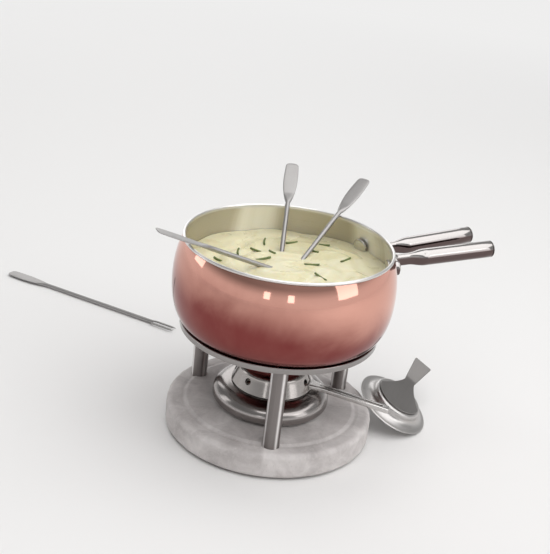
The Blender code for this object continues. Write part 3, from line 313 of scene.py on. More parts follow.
stone_low, stone_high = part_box("stone_base")
stone_radius = stone_high.x
margin_top = stone_high.z - STONE_STEP
stone_corners = [(0.0, stone_high.z), (STONE_STEP_RADIUS - STONE_STEP_RUN, stone_high.z),
                 (STONE_STEP_RADIUS, margin_top - STONE_MOAT),
                 (STONE_STEP_RADIUS + STONE_STEP_RUN, margin_top), (stone_radius, margin_top),
                 (stone_radius, stone_low.z), (0.0, stone_low.z)]
stone_profile = rounded(stone_corners, STONE_ROUNDS, 8)
worn_part = resampled(stone_profile[2:-1], STONE_FINEST)
stone_grid = turned(np.concatenate([stone_profile[:2], worn_part, stone_profile[-1:]]), 300)
stone_reach = np.linalg.norm(stone_grid[..., :2], axis=-1)
stone_worn = (np.clip((stone_reach - STONE_STEP_RADIUS) / STONE_WEAR_RUN, 0.0, 1.0)
              * np.clip((stone_grid[..., 2] - stone_low.z) / STONE_FOOT_RUN, 0.0, 1.0))
stone_middle = np.array([0.0, 0.0, (stone_low.z + stone_high.z) / 2.0])
stone_outward = stone_grid - stone_middle - stone_grid * STONE_FLATTEN
stone_outward /= np.linalg.norm(stone_outward, axis=-1, keepdims=True) + 1e-9
chip_draw = np.random.default_rng(8)
chip_turn = chip_draw.uniform(0.0, 2.0 * math.pi, CHIP_COUNT)
chip_levels = [stone_low.z + CHIP_INSET, margin_top - CHIP_INSET, stone_middle[2]]
chip_high = chip_draw.choice(chip_levels, CHIP_COUNT)
chip_spot = round_axis(stone_radius, chip_turn, chip_high)
chip_size = chip_draw.uniform(*CHIP_SIZES, CHIP_COUNT)
chip_reach = np.linalg.norm(stone_grid[:, :, None] - chip_spot, axis=-1) / chip_size
stone_dents = (np.exp(-chip_reach ** 2) * chip_size * CHIP_DEPTH).sum(axis=-1)
stone_lift = (STONE_UNEVEN * uneven(stone_grid, STONE_WAVE) - 0.5 * STONE_UNEVEN - stone_dents) * stone_worn
stone_grid = stone_grid + stone_outward * stone_lift[..., None]

stone = new_finish("honed_stone", Roughness=0.8, Specular_IOR_Level=0.35)
stone_place = object_place(stone)
stone_clouds = cloudy(stone, stone_place, scale=38.0, detail=7.0, roughness=0.62, distortion=0.6)
stone_specks = cloudy(stone, stone_place, scale=420.0, detail=5.0, roughness=0.7)
stone_pores = add(stone, "TexVoronoi", {"Vector": stone_place, "Scale": 260.0, "Randomness": 1.0})[0]
stone_tone = two_toned(stone, stone_clouds, STONE_TONES)
speck_share = between(stone, stone_specks, *STONE_SPECK_RUN)
stone_tone = blended(stone, speck_share, stone_tone, STONE_SPECK_TONE)
pore_share = between(stone, stone_pores, *STONE_PORE_RUN)
feed(stone, "Base Color", blended(stone, pore_share, stone_tone, STONE_PORE_TONE))
feed(stone, "Roughness", between(stone, stone_clouds, *STONE_ROUGH))
stone_relief = embossed(stone, stone_clouds, STONE_RELIEF)
pore_height = between(stone, stone_pores, 0.0, 1.0, 0.0, STONE_PORE_REACH)
stone_relief = embossed(stone, pore_height, STONE_PORE_DEPTH, STONE_PORE_STRENGTH, stone_relief)
feed(stone, "Normal", embossed(stone, stone_specks, STONE_GRIT, 1.0, stone_relief))

leg_boxes = [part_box(f"leg_{number}") for number in (1, 2, 3)]
leg_spots = [np.array([(low.x + high.x) / 2.0, (low.y + high.y) / 2.0, 0.0]) for low, high in leg_boxes]
leg_low, leg_high = leg_boxes[0]
leg_radius = (leg_high.x - leg_low.x) / 2.0
socket_floor = stone_high.z - LEG_SOCKET
bore_top = stone_low.z + COUNTERBORE[1]
socket_profile = [(0.0, stone_high.z + PAST_FACE), (leg_radius + SOCKET_GAP, stone_high.z + PAST_FACE),
                  (leg_radius + SOCKET_GAP, socket_floor), (SCREW_HOLE_RADIUS, socket_floor),
                  (SCREW_HOLE_RADIUS, bore_top), (COUNTERBORE[0], bore_top),
                  (COUNTERBORE[0], stone_low.z - PAST_FACE), (0.0, stone_low.z - PAST_FACE)]
sockets = [skinned("socket", [turned(socket_profile, 48) + spot]) for spot in leg_spots]
fitted(worked(skinned("stone_slab", [stone_grid]), sockets), stone, "stand", "stone", "stone_base")

# Legs: three solid steel bars, ground and polished lengthwise, faced and chamfered at both ends.
# Each is tapped at both ends and stands in its socket, held from below and from the ring.
LEG_EDGE = 0.0005
LEG_TAP_EDGE = 0.0003
LEG_TAP_DEPTH = 0.0140
LEG_PAINTED_HIGHLIGHT_BANDS = (-58.0, 24.0, 118.0, 205.0)
LEG_PAINTED_HIGHLIGHT_EDGE = 0.965
LEG_PAINTED_HIGHLIGHT_TONE = (0.80, 0.775, 0.765, 1.0)


def lined_steel(finish, lines, smudges, tone, rough, scratch, shade, dulling):
    """Fine lines in steel: as their noise does, the tone goes from a shaded one to full, the roughness
    runs over its range and the relief rises by the scratch; smudges dull it by up to a given roughness."""
    dark = tuple(shade * part for part in tone)
    feed(finish, "Base Color", two_toned(finish, lines, (dark + (1.0,), tone + (1.0,))))
    dulled = between(finish, smudges, 0.0, dulling)
    feed(finish, "Roughness", reckoned(finish, 'ADD', between(finish, lines, *rough), dulled))
    feed(finish, "Normal", embossed(finish, lines, scratch))
    return finish


def brushed_steel(name, tone, rough, stretch, scratch=0.00001, turn=(0.0, 0.0, 0.0), **constants):
    """Steel with straight lines: noise that is long along the direction of least stretch."""
    finish = new_finish(name, Metallic=1.0, **constants)
    lines = cloudy(finish, object_place(finish, stretch, turn), scale=1.0, detail=5.0, roughness=0.65)
    smudges = cloudy(finish, object_place(finish), scale=55.0, detail=3.0, roughness=0.6, distortion=0.8)
    return lined_steel(finish, lines, smudges, tone, rough, scratch, shade=0.86, dulling=0.05)


def base_tone(finish):
    """The output that feeds the shader's base colour."""
    return finish.node_tree.nodes["Principled BSDF"].inputs["Base Color"].links[0].from_socket


def painted_highlight_bands(finish, centre, bands, edge, tone, stray=0.012):
    """Painted highlights as upright bands on a round wall: towards each band, in degrees about the centre,
    the colour goes over to the tone as the cosine of the angle between them, with some noise, runs from
    the edge to 1."""
    outwards = vector(finish, 'SUBTRACT', spot_on(finish), centre)[0]
    way = vector(finish, 'NORMALIZE', vector(finish, 'MULTIPLY', outwards, (1.0, 1.0, 0.0))[0])[0]
    ripple = between(finish, cloudy(finish, way, scale=5.0, detail=4.0, roughness=0.6), -stray, stray)
    share = 0.0
    for turn in np.radians(bands):
        heading = (math.cos(turn), math.sin(turn), 0.0)
        near = vector(finish, 'DOT_PRODUCT', way, heading)["Value"]
        near = between(finish, reckoned(finish, 'ADD', near, ripple), 0.0, 1.0, edge, 1.0, 'SMOOTHSTEP')
        share = reckoned(finish, 'MAXIMUM', near, share)
    feed(finish, "Base Color", blended(finish, share, base_tone(finish), tone))


tap_top = leg_high.z - LEG_TAP_DEPTH
tap_bottom = leg_low.z + LEG_TAP_DEPTH
leg_profile = rounded([(0.0, tap_top), (SCREW_HOLE_RADIUS, tap_top), (SCREW_HOLE_RADIUS, leg_high.z),
                       (leg_radius, leg_high.z), (leg_radius, leg_low.z), (SCREW_HOLE_RADIUS, leg_low.z),
                       (SCREW_HOLE_RADIUS, tap_bottom), (0.0, tap_bottom)],
                      [0.0, 0.0, LEG_TAP_EDGE, LEG_EDGE, LEG_EDGE, LEG_TAP_EDGE, 0.0, 0.0], 4)
for number, spot in enumerate(leg_spots, 1):
    leg_steel = brushed_steel(f"ground_leg_steel_{number}", tone=(0.27, 0.245, 0.238), rough=(0.28, 0.38),
                              stretch=(2600.0, 2600.0, 22.0), Anisotropic=0.95, Anisotropic_Rotation=0.25)
    # Painted highlights: paler upright bands on each leg.
    painted_highlight_bands(leg_steel, spot, LEG_PAINTED_HIGHLIGHT_BANDS, LEG_PAINTED_HIGHLIGHT_EDGE, LEG_PAINTED_HIGHLIGHT_TONE)
    fitted(skinned(f"round_leg_{number}", [turned(leg_profile, 64) + spot]), leg_steel, "stand",
           "polished_steel", f"leg_{number}")

# Screws: pan heads under the stone and countersunk heads in the ring's plate, rolled steel with a hexagon
# socket. They pull the legs up against the ring and down into the stone.
SOCKET_RADIUS = 0.0017
SOCKET_DEPTH = 0.0018
SOCKET_FLARE = 1.06
SOCKET_LIP = 0.0001
SCREW_RADIUS = 0.0023
SCREW_PITCH = 0.0008
SCREW_THREAD = 0.00025
SCREW_POINT = 0.7
PAN_HEAD = [(0.0032, 0.0), (0.0042, -0.0004), (0.0046, -0.0012), (0.0046, -0.0030), (SCREW_RADIUS, -0.0030)]
SUNK_HEAD = [(0.0040, 0.0), (0.0043, -0.00005), (SCREW_RADIUS, -0.0020)]


def hexed(profile, six_sided, steps=60):
    """A turned surface whose first rows are hexagons: there the radius is multiplied by the cosine
    of 30 degrees over the cosine of the angle from the middle of the nearest side."""
    grid = turned(profile, steps)
    beside = (whole_turn(steps) + math.pi / 6.0) % (math.pi / 3.0) - math.pi / 6.0
    share = np.asarray(six_sided, float)[:, None]
    grid[..., :2] *= (1.0 + share * (math.cos(math.pi / 6.0) / np.cos(beside) - 1.0))[..., None]
    return grid


def screw_grid(head, length):
    """A screw with its head's face at zero, pointing down: hexagon socket, the head's own corners,
    then a threaded shank whose radius goes to and fro along its length."""
    inside = [(0.0, -SOCKET_DEPTH), (SOCKET_RADIUS, -SOCKET_DEPTH), (SOCKET_RADIUS, -SOCKET_LIP),
              (SOCKET_RADIUS * SOCKET_FLARE, 0.0)]
    down = np.arange(head[-1][1] - SCREW_PITCH / 2.0, -length + SCREW_PITCH, -SCREW_PITCH / 2.0)
    crest = SCREW_RADIUS - SCREW_THREAD * (np.arange(len(down)) % 2)
    point = [(SCREW_RADIUS * SCREW_POINT, -length), (0.0, -length)]
    profile = inside + head + list(zip(crest, down)) + point
    return hexed(profile, [1.0] * len(inside) + [0.0] * (len(profile) - len(inside)))


screw_steel = brushed_steel("rolled_screw_steel", tone=(0.50, 0.48, 0.46), rough=(0.28, 0.42),
                            stretch=(900.0, 900.0, 900.0))
pan_low, pan_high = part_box("base_screw_1")
sunk_low, sunk_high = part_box("ring_screw_1")
upside_down = np.array([1.0, -1.0, -1.0])
for number, spot in enumerate(leg_spots, 1):
    pan = screw_grid(PAN_HEAD, pan_high.z - pan_low.z) * upside_down + (spot + [0.0, 0.0, pan_low.z])
    fitted(skinned(f"pan_screw_{number}", [pan], crease=35.0), screw_steel, "stand", "satin_steel",
           f"base_screw_{number}")
    sunk = screw_grid(SUNK_HEAD, sunk_high.z - sunk_low.z) + (spot + [0.0, 0.0, sunk_high.z])
    fitted(skinned(f"sunk_screw_{number}", [sunk], crease=35.0), screw_steel, "stand", "satin_steel",
           f"ring_screw_{number}")

# Stand ring: a turned steel ring. A flat plate carries the pot over a wide opening for the flame, and a
# polished lip round its edge keeps the pot in the middle.
RING_PLATE = 0.0024
RING_LIP_WALL = 0.0022
RING_OPENING = 0.0540
RING_EDGE = 0.0006
RING_TOP_EDGE = 0.0008
SUNK_RADIUS = 0.0046
LATHE_LINES = 1800.0


def spun_steel(name, tone, rough, scratch=0.000008, shift=(0.0, 0.0, 0.0), turn=(0.0, 0.0, 0.0), **constants):
    """Steel polished on the lathe: the lines are noise over the radius and the height, so they run round
    the piece's axis, which the turn and the shift bring upright to the middle; smudges vary the gloss."""
    finish = new_finish(name, Metallic=1.0, **constants)
    spot = add(finish, "Mapping", {"Vector": spot_on(finish), "Location": shift, "Rotation": turn})[0]
    part = add(finish, "SeparateXYZ", {0: spot})
    flat = add(finish, "CombineXYZ", {0: part[0], 1: part[1]})[0]
    lathe = add(finish, "CombineXYZ", {0: vector(finish, 'LENGTH', flat)["Value"], 1: part[2]})[0]
    stretched = add(finish, "VectorMath", {0: lathe, "Scale": LATHE_LINES}, operation='SCALE')[0]
    lines = cloudy(finish, stretched, scale=1.0, detail=3.0, roughness=0.6)
    smudges = cloudy(finish, object_place(finish), scale=48.0, detail=4.0, roughness=0.6, distortion=1.0)
    return lined_steel(finish, lines, smudges, tone, rough, scratch, shade=0.88, dulling=0.06)


ring_low, ring_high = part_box("stand_ring")
ring_steel = spun_steel("lathe_polished_ring", tone=(0.32, 0.302, 0.294), rough=(0.09, 0.18))
ring_seat = ring_low.z + RING_PLATE
ring_inner = ring_high.x - RING_LIP_WALL
ring_profile = rounded([(ring_inner, ring_high.z), (ring_high.x, ring_high.z), (ring_high.x, ring_low.z),
                        (RING_OPENING, ring_low.z), (RING_OPENING, ring_seat), (ring_inner, ring_seat)],
                       [RING_EDGE, RING_TOP_EDGE] + [RING_EDGE] * 4, 5, closed=True)
sunk_profile = [(0.0, ring_seat + PAST_FACE), (SUNK_RADIUS, ring_seat + PAST_FACE), (SUNK_RADIUS, ring_seat),
                (SCREW_HOLE_RADIUS, ring_seat - SUNK_RADIUS + SCREW_HOLE_RADIUS),
                (SCREW_HOLE_RADIUS, ring_low.z - PAST_FACE), (0.0, ring_low.z - PAST_FACE)]
sinks = [skinned("sink", [turned(sunk_profile, 40) + spot]) for spot in leg_spots]
ring = skinned("pot_ring", [turned(ring_profile, 200)], ring=True)
fitted(worked(ring, sinks), ring_steel, "stand", "polished_steel", "stand_ring")

# Copper shell: spun from sheet and polished to a mirror. Its belly is fullest a little below half height and
# it draws in to the rim; towards the bottom, and further up on the left, it is painted a deep red as a
# painted reflection of a dark table below.
POT_BELLY_HEIGHT = 0.0431
POT_NECK_RADIUS = 0.0939
POT_FLAT_RADIUS = 0.0798
POT_NECK_SWEEP = math.radians(48.8)
POT_CORNER_POWER = 2.2
COPPER_WALL = 0.0010
LINER_WALL = 0.0010
WALL_GAP = 0.0003
BEAD_RADIUS = 0.0014
COPPER_PAINTED_REFLECTION_AND_OWN_TONES = ((0.20, 0.040, 0.039, 1.0), (0.72, 0.375, 0.300, 1.0))
COPPER_PALE_TONE = (0.80, 0.48, 0.40, 1.0)
COPPER_PALE_SHARE = 0.12
COPPER_PAINTED_REFLECTION_HEIGHTS = (0.129, 0.174)
COPPER_PAINTED_REFLECTION_WANDER = 0.006
COPPER_PAINTED_REFLECTION_LEAN = 0.17
COPPER_ROUGH = (0.035, 0.085)
COPPER_WIPE = 0.000012
shell_low, shell_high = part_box("pot_shell")
liner_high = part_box("pot_liner")[1]
belly_radius = shell_high.x
belly_z = shell_low.z + POT_BELLY_HEIGHT
bead_bottom = liner_high.z - 2.0 * BEAD_RADIUS


def pot_curve(offset, count=40):
    """The pot's side from the copper's top edge to the flat underneath, moved inwards by an offset along
    its normal: an arc of an ellipse above the belly, a superellipse quarter below it."""
    upper_height = (bead_bottom - belly_z) / math.sin(POT_NECK_SWEEP)
    upper_depth = (belly_radius - POT_NECK_RADIUS) / (1.0 - math.cos(POT_NECK_SWEEP))
    start = math.asin((shell_high.z - belly_z) / upper_height)
    upper = np.linspace(start, 0.0, count)[:-1]
    lower = np.linspace(0.0, math.pi / 2.0, count + 1)
    power = 2.0 / POT_CORNER_POWER
    draw = np.clip(np.cos(lower), 0.0, 1.0) ** power
    radius = np.concatenate([belly_radius - upper_depth * (1.0 - np.cos(upper)),
                             POT_FLAT_RADIUS + (belly_radius - POT_FLAT_RADIUS) * draw])
    height = np.concatenate([belly_z + upper_height * np.sin(upper),
                             belly_z - POT_BELLY_HEIGHT * np.sin(lower) ** power])
    along = np.stack([np.gradient(radius), np.gradient(height)])
    along /= np.linalg.norm(along, axis=0)
    along[:, -1] = (-1.0, 0.0)
    return np.stack([radius + offset * along[1], height - offset * along[0]], axis=1)


def pot_radius(height, offset):
    """Radius of the pot's side, moved inwards by an offset, at a height."""
    curve = pot_curve(offset, 120)[::-1]
    return np.interp(height, curve[:, 1], curve[:, 0])


def axis_end(profile):
    """The point on the axis level with a profile's last point."""
    return np.array([[0.0, profile[-1][1]]])


copper = new_finish("mirror_copper", Metallic=1.0)
copper_part = add(copper, "SeparateXYZ", {0: spot_on(copper)})
copper_clouds = cloudy(copper, object_place(copper), scale=16.0, detail=4.0, roughness=0.55, distortion=0.5)
# Painted reflection: the colour goes over to a dark red towards the bottom, reaching higher on the left.
painted_reflection_level = between(copper, copper_clouds, -COPPER_PAINTED_REFLECTION_WANDER, COPPER_PAINTED_REFLECTION_WANDER)
painted_reflection_level = reckoned(copper, 'ADD', painted_reflection_level, copper_part[2])
painted_reflection_level = reckoned(copper, 'MULTIPLY_ADD', copper_part[0], COPPER_PAINTED_REFLECTION_LEAN, painted_reflection_level)
painted_reflection_share = between(copper, painted_reflection_level, 0.0, 1.0, *COPPER_PAINTED_REFLECTION_HEIGHTS, 'SMOOTHSTEP')
copper_with_painted_reflection = blended(copper, painted_reflection_share, *COPPER_PAINTED_REFLECTION_AND_OWN_TONES)
pale_share = between(copper, copper_clouds, 0.0, COPPER_PALE_SHARE)
feed(copper, "Base Color", blended(copper, pale_share, copper_with_painted_reflection, COPPER_PALE_TONE))
copper_place = object_place(copper, (60.0, 60.0, 260.0))
copper_wipe = cloudy(copper, copper_place, scale=1.0, detail=5.0, roughness=0.6, distortion=0.4)
feed(copper, "Roughness", between(copper, copper_wipe, *COPPER_ROUGH))
feed(copper, "Normal", embossed(copper, copper_wipe, COPPER_WIPE))

shell_outside = pot_curve(0.0)
shell_inside = pot_curve(COPPER_WALL)[::-1]
shell_profile = np.concatenate([axis_end(shell_inside[:1]), shell_inside, shell_outside,
                                axis_end(shell_outside)])

# Steel liner: a spun stainless bowl inside the copper, brushed round its inside, with paler upright bands on
# its wall as painted highlights. Its edge is rolled outwards over the copper into a bead, the thin bright
# line round the rim, whose paler tone is a painted highlight.
BEAD_TURN = (200.0, -112.0)
LINER_PAINTED_HIGHLIGHT_BANDS = (107.0, 33.0, 9.0, 196.0, 285.0)
LINER_PAINTED_HIGHLIGHT_EDGE = 0.955
LINER_PAINTED_HIGHLIGHT_TONE = (0.93, 0.92, 0.90, 1.0)
RIM_PAINTED_HIGHLIGHT_TONE = (0.80, 0.785, 0.77, 1.0)
RIM_PAINTED_HIGHLIGHT_BELOW = 0.0006
RIM_PAINTED_HIGHLIGHT_ABOVE = 0.0004
bead_circle = POT_NECK_RADIUS - WALL_GAP
bead_z = liner_high.z - BEAD_RADIUS
bead_turn = np.linspace(*np.radians(BEAD_TURN), 22)
bead = np.stack([bead_circle + BEAD_RADIUS * np.cos(bead_turn),
                 bead_z + BEAD_RADIUS * np.sin(bead_turn)], axis=1)
liner_wall = COPPER_WALL + WALL_GAP + LINER_WALL
liner_inside = pot_curve(liner_wall)[::-1]
liner_outside = pot_curve(COPPER_WALL + WALL_GAP)
liner_profile = np.concatenate([axis_end(liner_inside[:1]), liner_inside, bead, liner_outside,
                                axis_end(liner_outside)])
liner_steel = spun_steel("brushed_liner_steel", tone=(0.60, 0.565, 0.50), rough=(0.24, 0.38), scratch=0.00002,
                         Anisotropic=0.85, Anisotropic_Rotation=0.25)
# Painted highlights: paler upright bands on the liner's wall.
painted_highlight_bands(liner_steel, (0.0, 0.0, 0.0), LINER_PAINTED_HIGHLIGHT_BANDS, LINER_PAINTED_HIGHLIGHT_EDGE, LINER_PAINTED_HIGHLIGHT_TONE)
# Painted highlight: the bead above the wall is painted a paler tone.
liner_height = add(liner_steel, "SeparateXYZ", {0: spot_on(liner_steel)})[2]
rim_painted_highlight_share = between(liner_steel, liner_height, 0.0, 1.0, bead_bottom - RIM_PAINTED_HIGHLIGHT_BELOW,
                    bead_bottom + RIM_PAINTED_HIGHLIGHT_ABOVE)
feed(liner_steel, "Base Color", blended(liner_steel, rim_painted_highlight_share, base_tone(liner_steel), RIM_PAINTED_HIGHLIGHT_TONE))

# Pot handle: two steel tubes side by side. Each starts as a flat foot against the wall, bends outwards,
# passes a crimped neck and swells into a polished round tube, painted dark as a reflection of a dark table
# below with a paler painted highlight along its top, which a pressed-in cap closes. One rivet through each
# foot holds it to both bowls.
HANDLE_AZIMUTH = math.radians(24.5)
HANDLE_DROP = 0.0225
HANDLE_REACH = 0.1093
HANDLE_RISE = math.radians(3.6)
HANDLE_HALF_SPREAD = 0.0138
HANDLE_SPREAD_AT = 0.0143
HANDLE_SPLAY = 0.05
TUBE_RADIUS = 0.0080
TUBE_WALL = 0.0012
TUBE_SHOULDER = 0.0120
TUBE_TRANSITION = 0.0170
TUBE_PAST_SHOULDER = 0.0040
TUBE_DIMPLE = (0.0275, 0.0014, 0.0009)
TUBE_DIMPLE_DEPTH = 0.97
TUBE_EDGE = 0.0006
TUBE_EDGE_MIDDLE = 0.00018
TUBE_BORE_EDGE = 0.0003
TUBE_HOLLOW = 0.0200
TUBE_PAINTED_HIGHLIGHT_RUN = (0.0014, 0.0042)
TUBE_PAINTED_HIGHLIGHT_TONE = (0.47, 0.445, 0.435, 1.0)
NECK = (0.0029, 0.0056, 3.0)
FOOT = (0.0021, 0.0070, 5.0)
FOOT_TIP = math.radians(4.0)
FOOT_BEND_RADIUS = 0.0080
FOOT_RIVET_OFFSET = 0.0085
FOOT_END_OFFSET = 0.0082
RIVET_RADIUS = 0.0030
RIVET_HOLE_RADIUS = 0.0033
RIVET_INSIDE = (0.0076, 0.0034)
RIVET_DOME = 0.0012
RIVET_OUTSIDE = (0.0050, 0.0020)
RIVET_EDGE = 0.0003
RIVET_LIP = (0.0002, 0.0001)
DRILL_REACH = 0.012
CAP_EDGE = 0.0008
CAP_DOME = 0.0008
CAP_ROUND = 0.0002
CAP_SIDE = 0.0003
CAP_SPIGOT = 0.0060
CAD_FACETS = 36
LEAN_STEP = 0.001
rivet_z = liner_high.z - HANDLE_DROP
wall_radius = float(pot_radius(rivet_z, 0.0))
wall_run = pot_radius(rivet_z - LEAN_STEP, 0.0) - pot_radius(rivet_z + LEAN_STEP, 0.0)
wall_lean = math.atan(wall_run / (2.0 * LEAN_STEP))
foot_gap = WALL_GAP + FOOT[0]
foot_radius = wall_radius + foot_gap * math.cos(wall_lean)
foot_z = rivet_z + foot_gap * math.sin(wall_lean)
tube_run = np.array([1.0, HANDLE_SPLAY]) / math.hypot(1.0, HANDLE_SPLAY)
tube_side = np.array([-tube_run[1], tube_run[0]])
anchor = np.array([wall_radius + HANDLE_SPREAD_AT, HANDLE_HALF_SPREAD])
reach = anchor + FOOT_BEND_RADIUS * tube_side
to_bend = -reach @ tube_run + math.sqrt((reach @ tube_run) ** 2 - reach @ reach
                                        + (foot_radius + FOOT_BEND_RADIUS) ** 2)
bend_centre = reach + to_bend * tube_run
bend_end = anchor + to_bend * tube_run
bend_start = math.atan2(bend_centre[1], bend_centre[0])
rivet_turn = bend_start + FOOT_RIVET_OFFSET / foot_radius
foot_end = rivet_turn + FOOT_END_OFFSET / foot_radius
tube_length = (wall_radius + HANDLE_REACH - bend_end[0]) / tube_run[0]
tube_axis = np.append(tube_run, math.tan(HANDLE_RISE))
tube_end = np.append(bend_end, foot_z) + tube_axis * tube_length


def spin(angle):
    """Axes turned about Z by an angle, as columns."""
    return np.array([[math.cos(angle), -math.sin(angle), 0.0], [math.sin(angle), math.cos(angle), 0.0],
                     [0.0, 0.0, 1.0]])


def facing(axis):
    """Axes of a frame whose Z points along an axis, as columns."""
    axis = np.asarray(axis, float) / np.linalg.norm(axis)
    side = np.cross([0.0, 0.0, 1.0] if abs(axis[2]) < 0.9 else [1.0, 0.0, 0.0], axis)
    side /= np.linalg.norm(side)
    return np.stack([side, np.cross(axis, side), axis], axis=1)


def ease(share):
    """From 0 to 1 with level ends: three times the square less twice the cube."""
    share = np.clip(share, 0.0, 1.0)
    return share * share * (3.0 - 2.0 * share)


def swept(centre, heading, climb, lean, half_thick, half_height, power, columns=72):
    """Superellipse sections square to a path: at each station the point at an angle is the half thickness
    times its cosine and the half height times its sine, each raised to two over the power."""
    along = np.stack([np.cos(heading) * np.cos(climb), np.sin(heading) * np.cos(climb), np.sin(climb)],
                     axis=-1)
    across = np.stack([-np.sin(heading), np.cos(heading), np.zeros_like(heading)], axis=-1)
    upright = np.cross(along, across)
    lean = lean[:, None]
    outwards = across * np.cos(lean) + upright * np.sin(lean)
    upwards = upright * np.cos(lean) - across * np.sin(lean)
    turn = whole_turn(columns)
    c, s = np.cos(turn), np.sin(turn)
    power = 2.0 / power[:, None]
    wide = half_thick[:, None] * np.sign(c) * np.abs(c) ** power
    tall = half_height[:, None] * np.sign(s) * np.abs(s) ** power
    return centre[:, None] + outwards[:, None] * wide[..., None] + upwards[:, None] * tall[..., None]


def mixed(low, high, share):
    """Station values between two (thickness, height, power) sections."""
    return [a + (b - a) * share for a, b in zip(low, high)]


def capped(grid):
    """A grid closed at both ends: a row at the mean point of its first row and one at that of its last."""
    first, last = [np.repeat(grid[row].mean(axis=0)[None, None], grid.shape[1], axis=1) for row in (0, -1)]
    return np.concatenate([first, grid, last])


def tube_grid():
    """The back tube in the handle's own frame, X outwards: rounded end of the foot, foot along the wall,
    bend, neck, swelling shoulder with its crimp, round tube, and the rim turned in to the bore."""
    tip = np.linspace(FOOT_TIP, math.pi / 2.0, 12)
    foot_back = np.concatenate([FOOT[1] * (1.0 - np.cos(tip)),
                                np.linspace(FOOT[1], FOOT_RIVET_OFFSET + FOOT_END_OFFSET, 10)[1:-1]])
    foot_high = np.concatenate([FOOT[1] * np.sin(tip), np.full(8, FOOT[1])])
    turn = foot_end - foot_back / foot_radius
    flat = np.zeros_like(turn)
    foot = swept(round_axis(foot_radius, turn, foot_z), turn - math.pi / 2.0, flat, flat + wall_lean,
                 flat + FOOT[0], foot_high, flat + FOOT[2])
    share = np.linspace(0.0, 1.0, 22)
    first = bend_start + math.pi
    turn = first + (math.atan2(-tube_side[1], -tube_side[0]) + 2.0 * math.pi - first) * share
    eased = ease(share)
    bend = swept(np.append(bend_centre, 0.0) + round_axis(FOOT_BEND_RADIUS, turn, foot_z),
                 turn + math.pi / 2.0, HANDLE_RISE * eased, wall_lean * (1.0 - eased),
                 *mixed(FOOT, NECK, eased))
    swollen = TUBE_SHOULDER + TUBE_TRANSITION + TUBE_PAST_SHOULDER
    along = np.concatenate([np.linspace(0.0, TUBE_SHOULDER, 8)[1:-1], np.linspace(TUBE_SHOULDER, swollen, 48),
                            np.linspace(swollen, tube_length - TUBE_EDGE, 8)[1:]])
    inwards = np.array([0.0, TUBE_EDGE_MIDDLE, TUBE_EDGE, TUBE_WALL - TUBE_BORE_EDGE, TUBE_WALL, TUBE_WALL])
    depth = np.array([TUBE_EDGE, TUBE_EDGE_MIDDLE, 0.0, 0.0, TUBE_BORE_EDGE, TUBE_HOLLOW])
    eased = ease((along - TUBE_SHOULDER) / TUBE_TRANSITION)
    half_thick, half_height, power = mixed(NECK, (TUBE_RADIUS, TUBE_RADIUS, 2.0), eased)
    along = np.concatenate([along, tube_length - depth])
    half_thick = np.concatenate([half_thick, TUBE_RADIUS - inwards])
    half_height = np.concatenate([half_height, TUBE_RADIUS - inwards])
    power = np.concatenate([power, np.full(len(depth), 2.0)])
    flat = np.zeros_like(along)
    tube = swept(np.append(bend_end, foot_z) + np.outer(along, tube_axis),
                 flat + math.atan2(tube_run[1], tube_run[0]), flat + HANDLE_RISE, flat, half_thick,
                 half_height, power)
    dimple_at, spread, deep = TUBE_DIMPLE
    mark = np.append(tube_side, 1.0) / math.sqrt(2.0)
    dent = np.append(bend_end, foot_z) + tube_axis * dimple_at + mark * TUBE_RADIUS * TUBE_DIMPLE_DEPTH
    near = np.exp(-((tube - dent) ** 2).sum(axis=-1) / (2.0 * spread ** 2))
    tube = tube - mark * (deep * near)[..., None]
    return capped(np.concatenate([foot, bend, tube]))


# Painted reflection and highlight: the tube is painted dark, standing for a dark table below, and paler along
# its top.
tube_steel = brushed_steel("polished_tube_steel", tone=(0.13, 0.095, 0.092), rough=(0.05, 0.11),
                           stretch=(30.0, 1800.0, 1800.0), scratch=0.000006, turn=(0.0, 0.0, -HANDLE_AZIMUTH))
tube_slope = math.tan(HANDLE_RISE) / tube_run[0]
tube_up = tuple(round_axis(-tube_slope, HANDLE_AZIMUTH, 1.0))
tube_level = foot_z - tube_slope * bend_end[0]
tube_height = vector(tube_steel, 'DOT_PRODUCT', spot_on(tube_steel), tube_up)["Value"]
tube_painted_highlight = between(tube_steel, tube_height, 0.0, 1.0, tube_level + TUBE_PAINTED_HIGHLIGHT_RUN[0],
                     tube_level + TUBE_PAINTED_HIGHLIGHT_RUN[1], 'SMOOTHSTEP')
feed(tube_steel, "Base Color", blended(tube_steel, tube_painted_highlight, base_tone(tube_steel), TUBE_PAINTED_HIGHLIGHT_TONE))
cap_steel = brushed_steel("polished_cap_steel", tone=(0.19, 0.170, 0.165), rough=(0.08, 0.16),
                          stretch=(700.0, 700.0, 700.0))
rivet_steel = brushed_steel("pressed_rivet_steel", tone=(0.64, 0.62, 0.59), rough=(0.14, 0.26),
                            stretch=(500.0, 500.0, 500.0))
dome_turn = np.linspace(math.pi / 2.0, 0.0, 10)[:, None]
dome = np.concatenate([np.cos(dome_turn), np.sin(dome_turn)], axis=1)
spigot_radius = TUBE_RADIUS - TUBE_WALL - WALL_GAP
cap_profile = np.concatenate([dome * [TUBE_RADIUS - CAP_ROUND, CAP_DOME] + [0.0, CAP_EDGE],
                              [[TUBE_RADIUS, CAP_EDGE - CAP_SIDE], [TUBE_RADIUS, CAP_ROUND],
                               [TUBE_RADIUS - CAP_ROUND, 0.0], [spigot_radius, 0.0],
                               [spigot_radius, -CAP_SPIGOT], [0.0, -CAP_SPIGOT]]])
facet_sag = wall_radius * (1.0 - math.cos(math.pi / CAD_FACETS))
inner_face = -liner_wall - facet_sag - RIVET_INSIDE[0] ** 2 / (2.0 * wall_radius) - WALL_GAP
outer_face = 2.0 * foot_gap
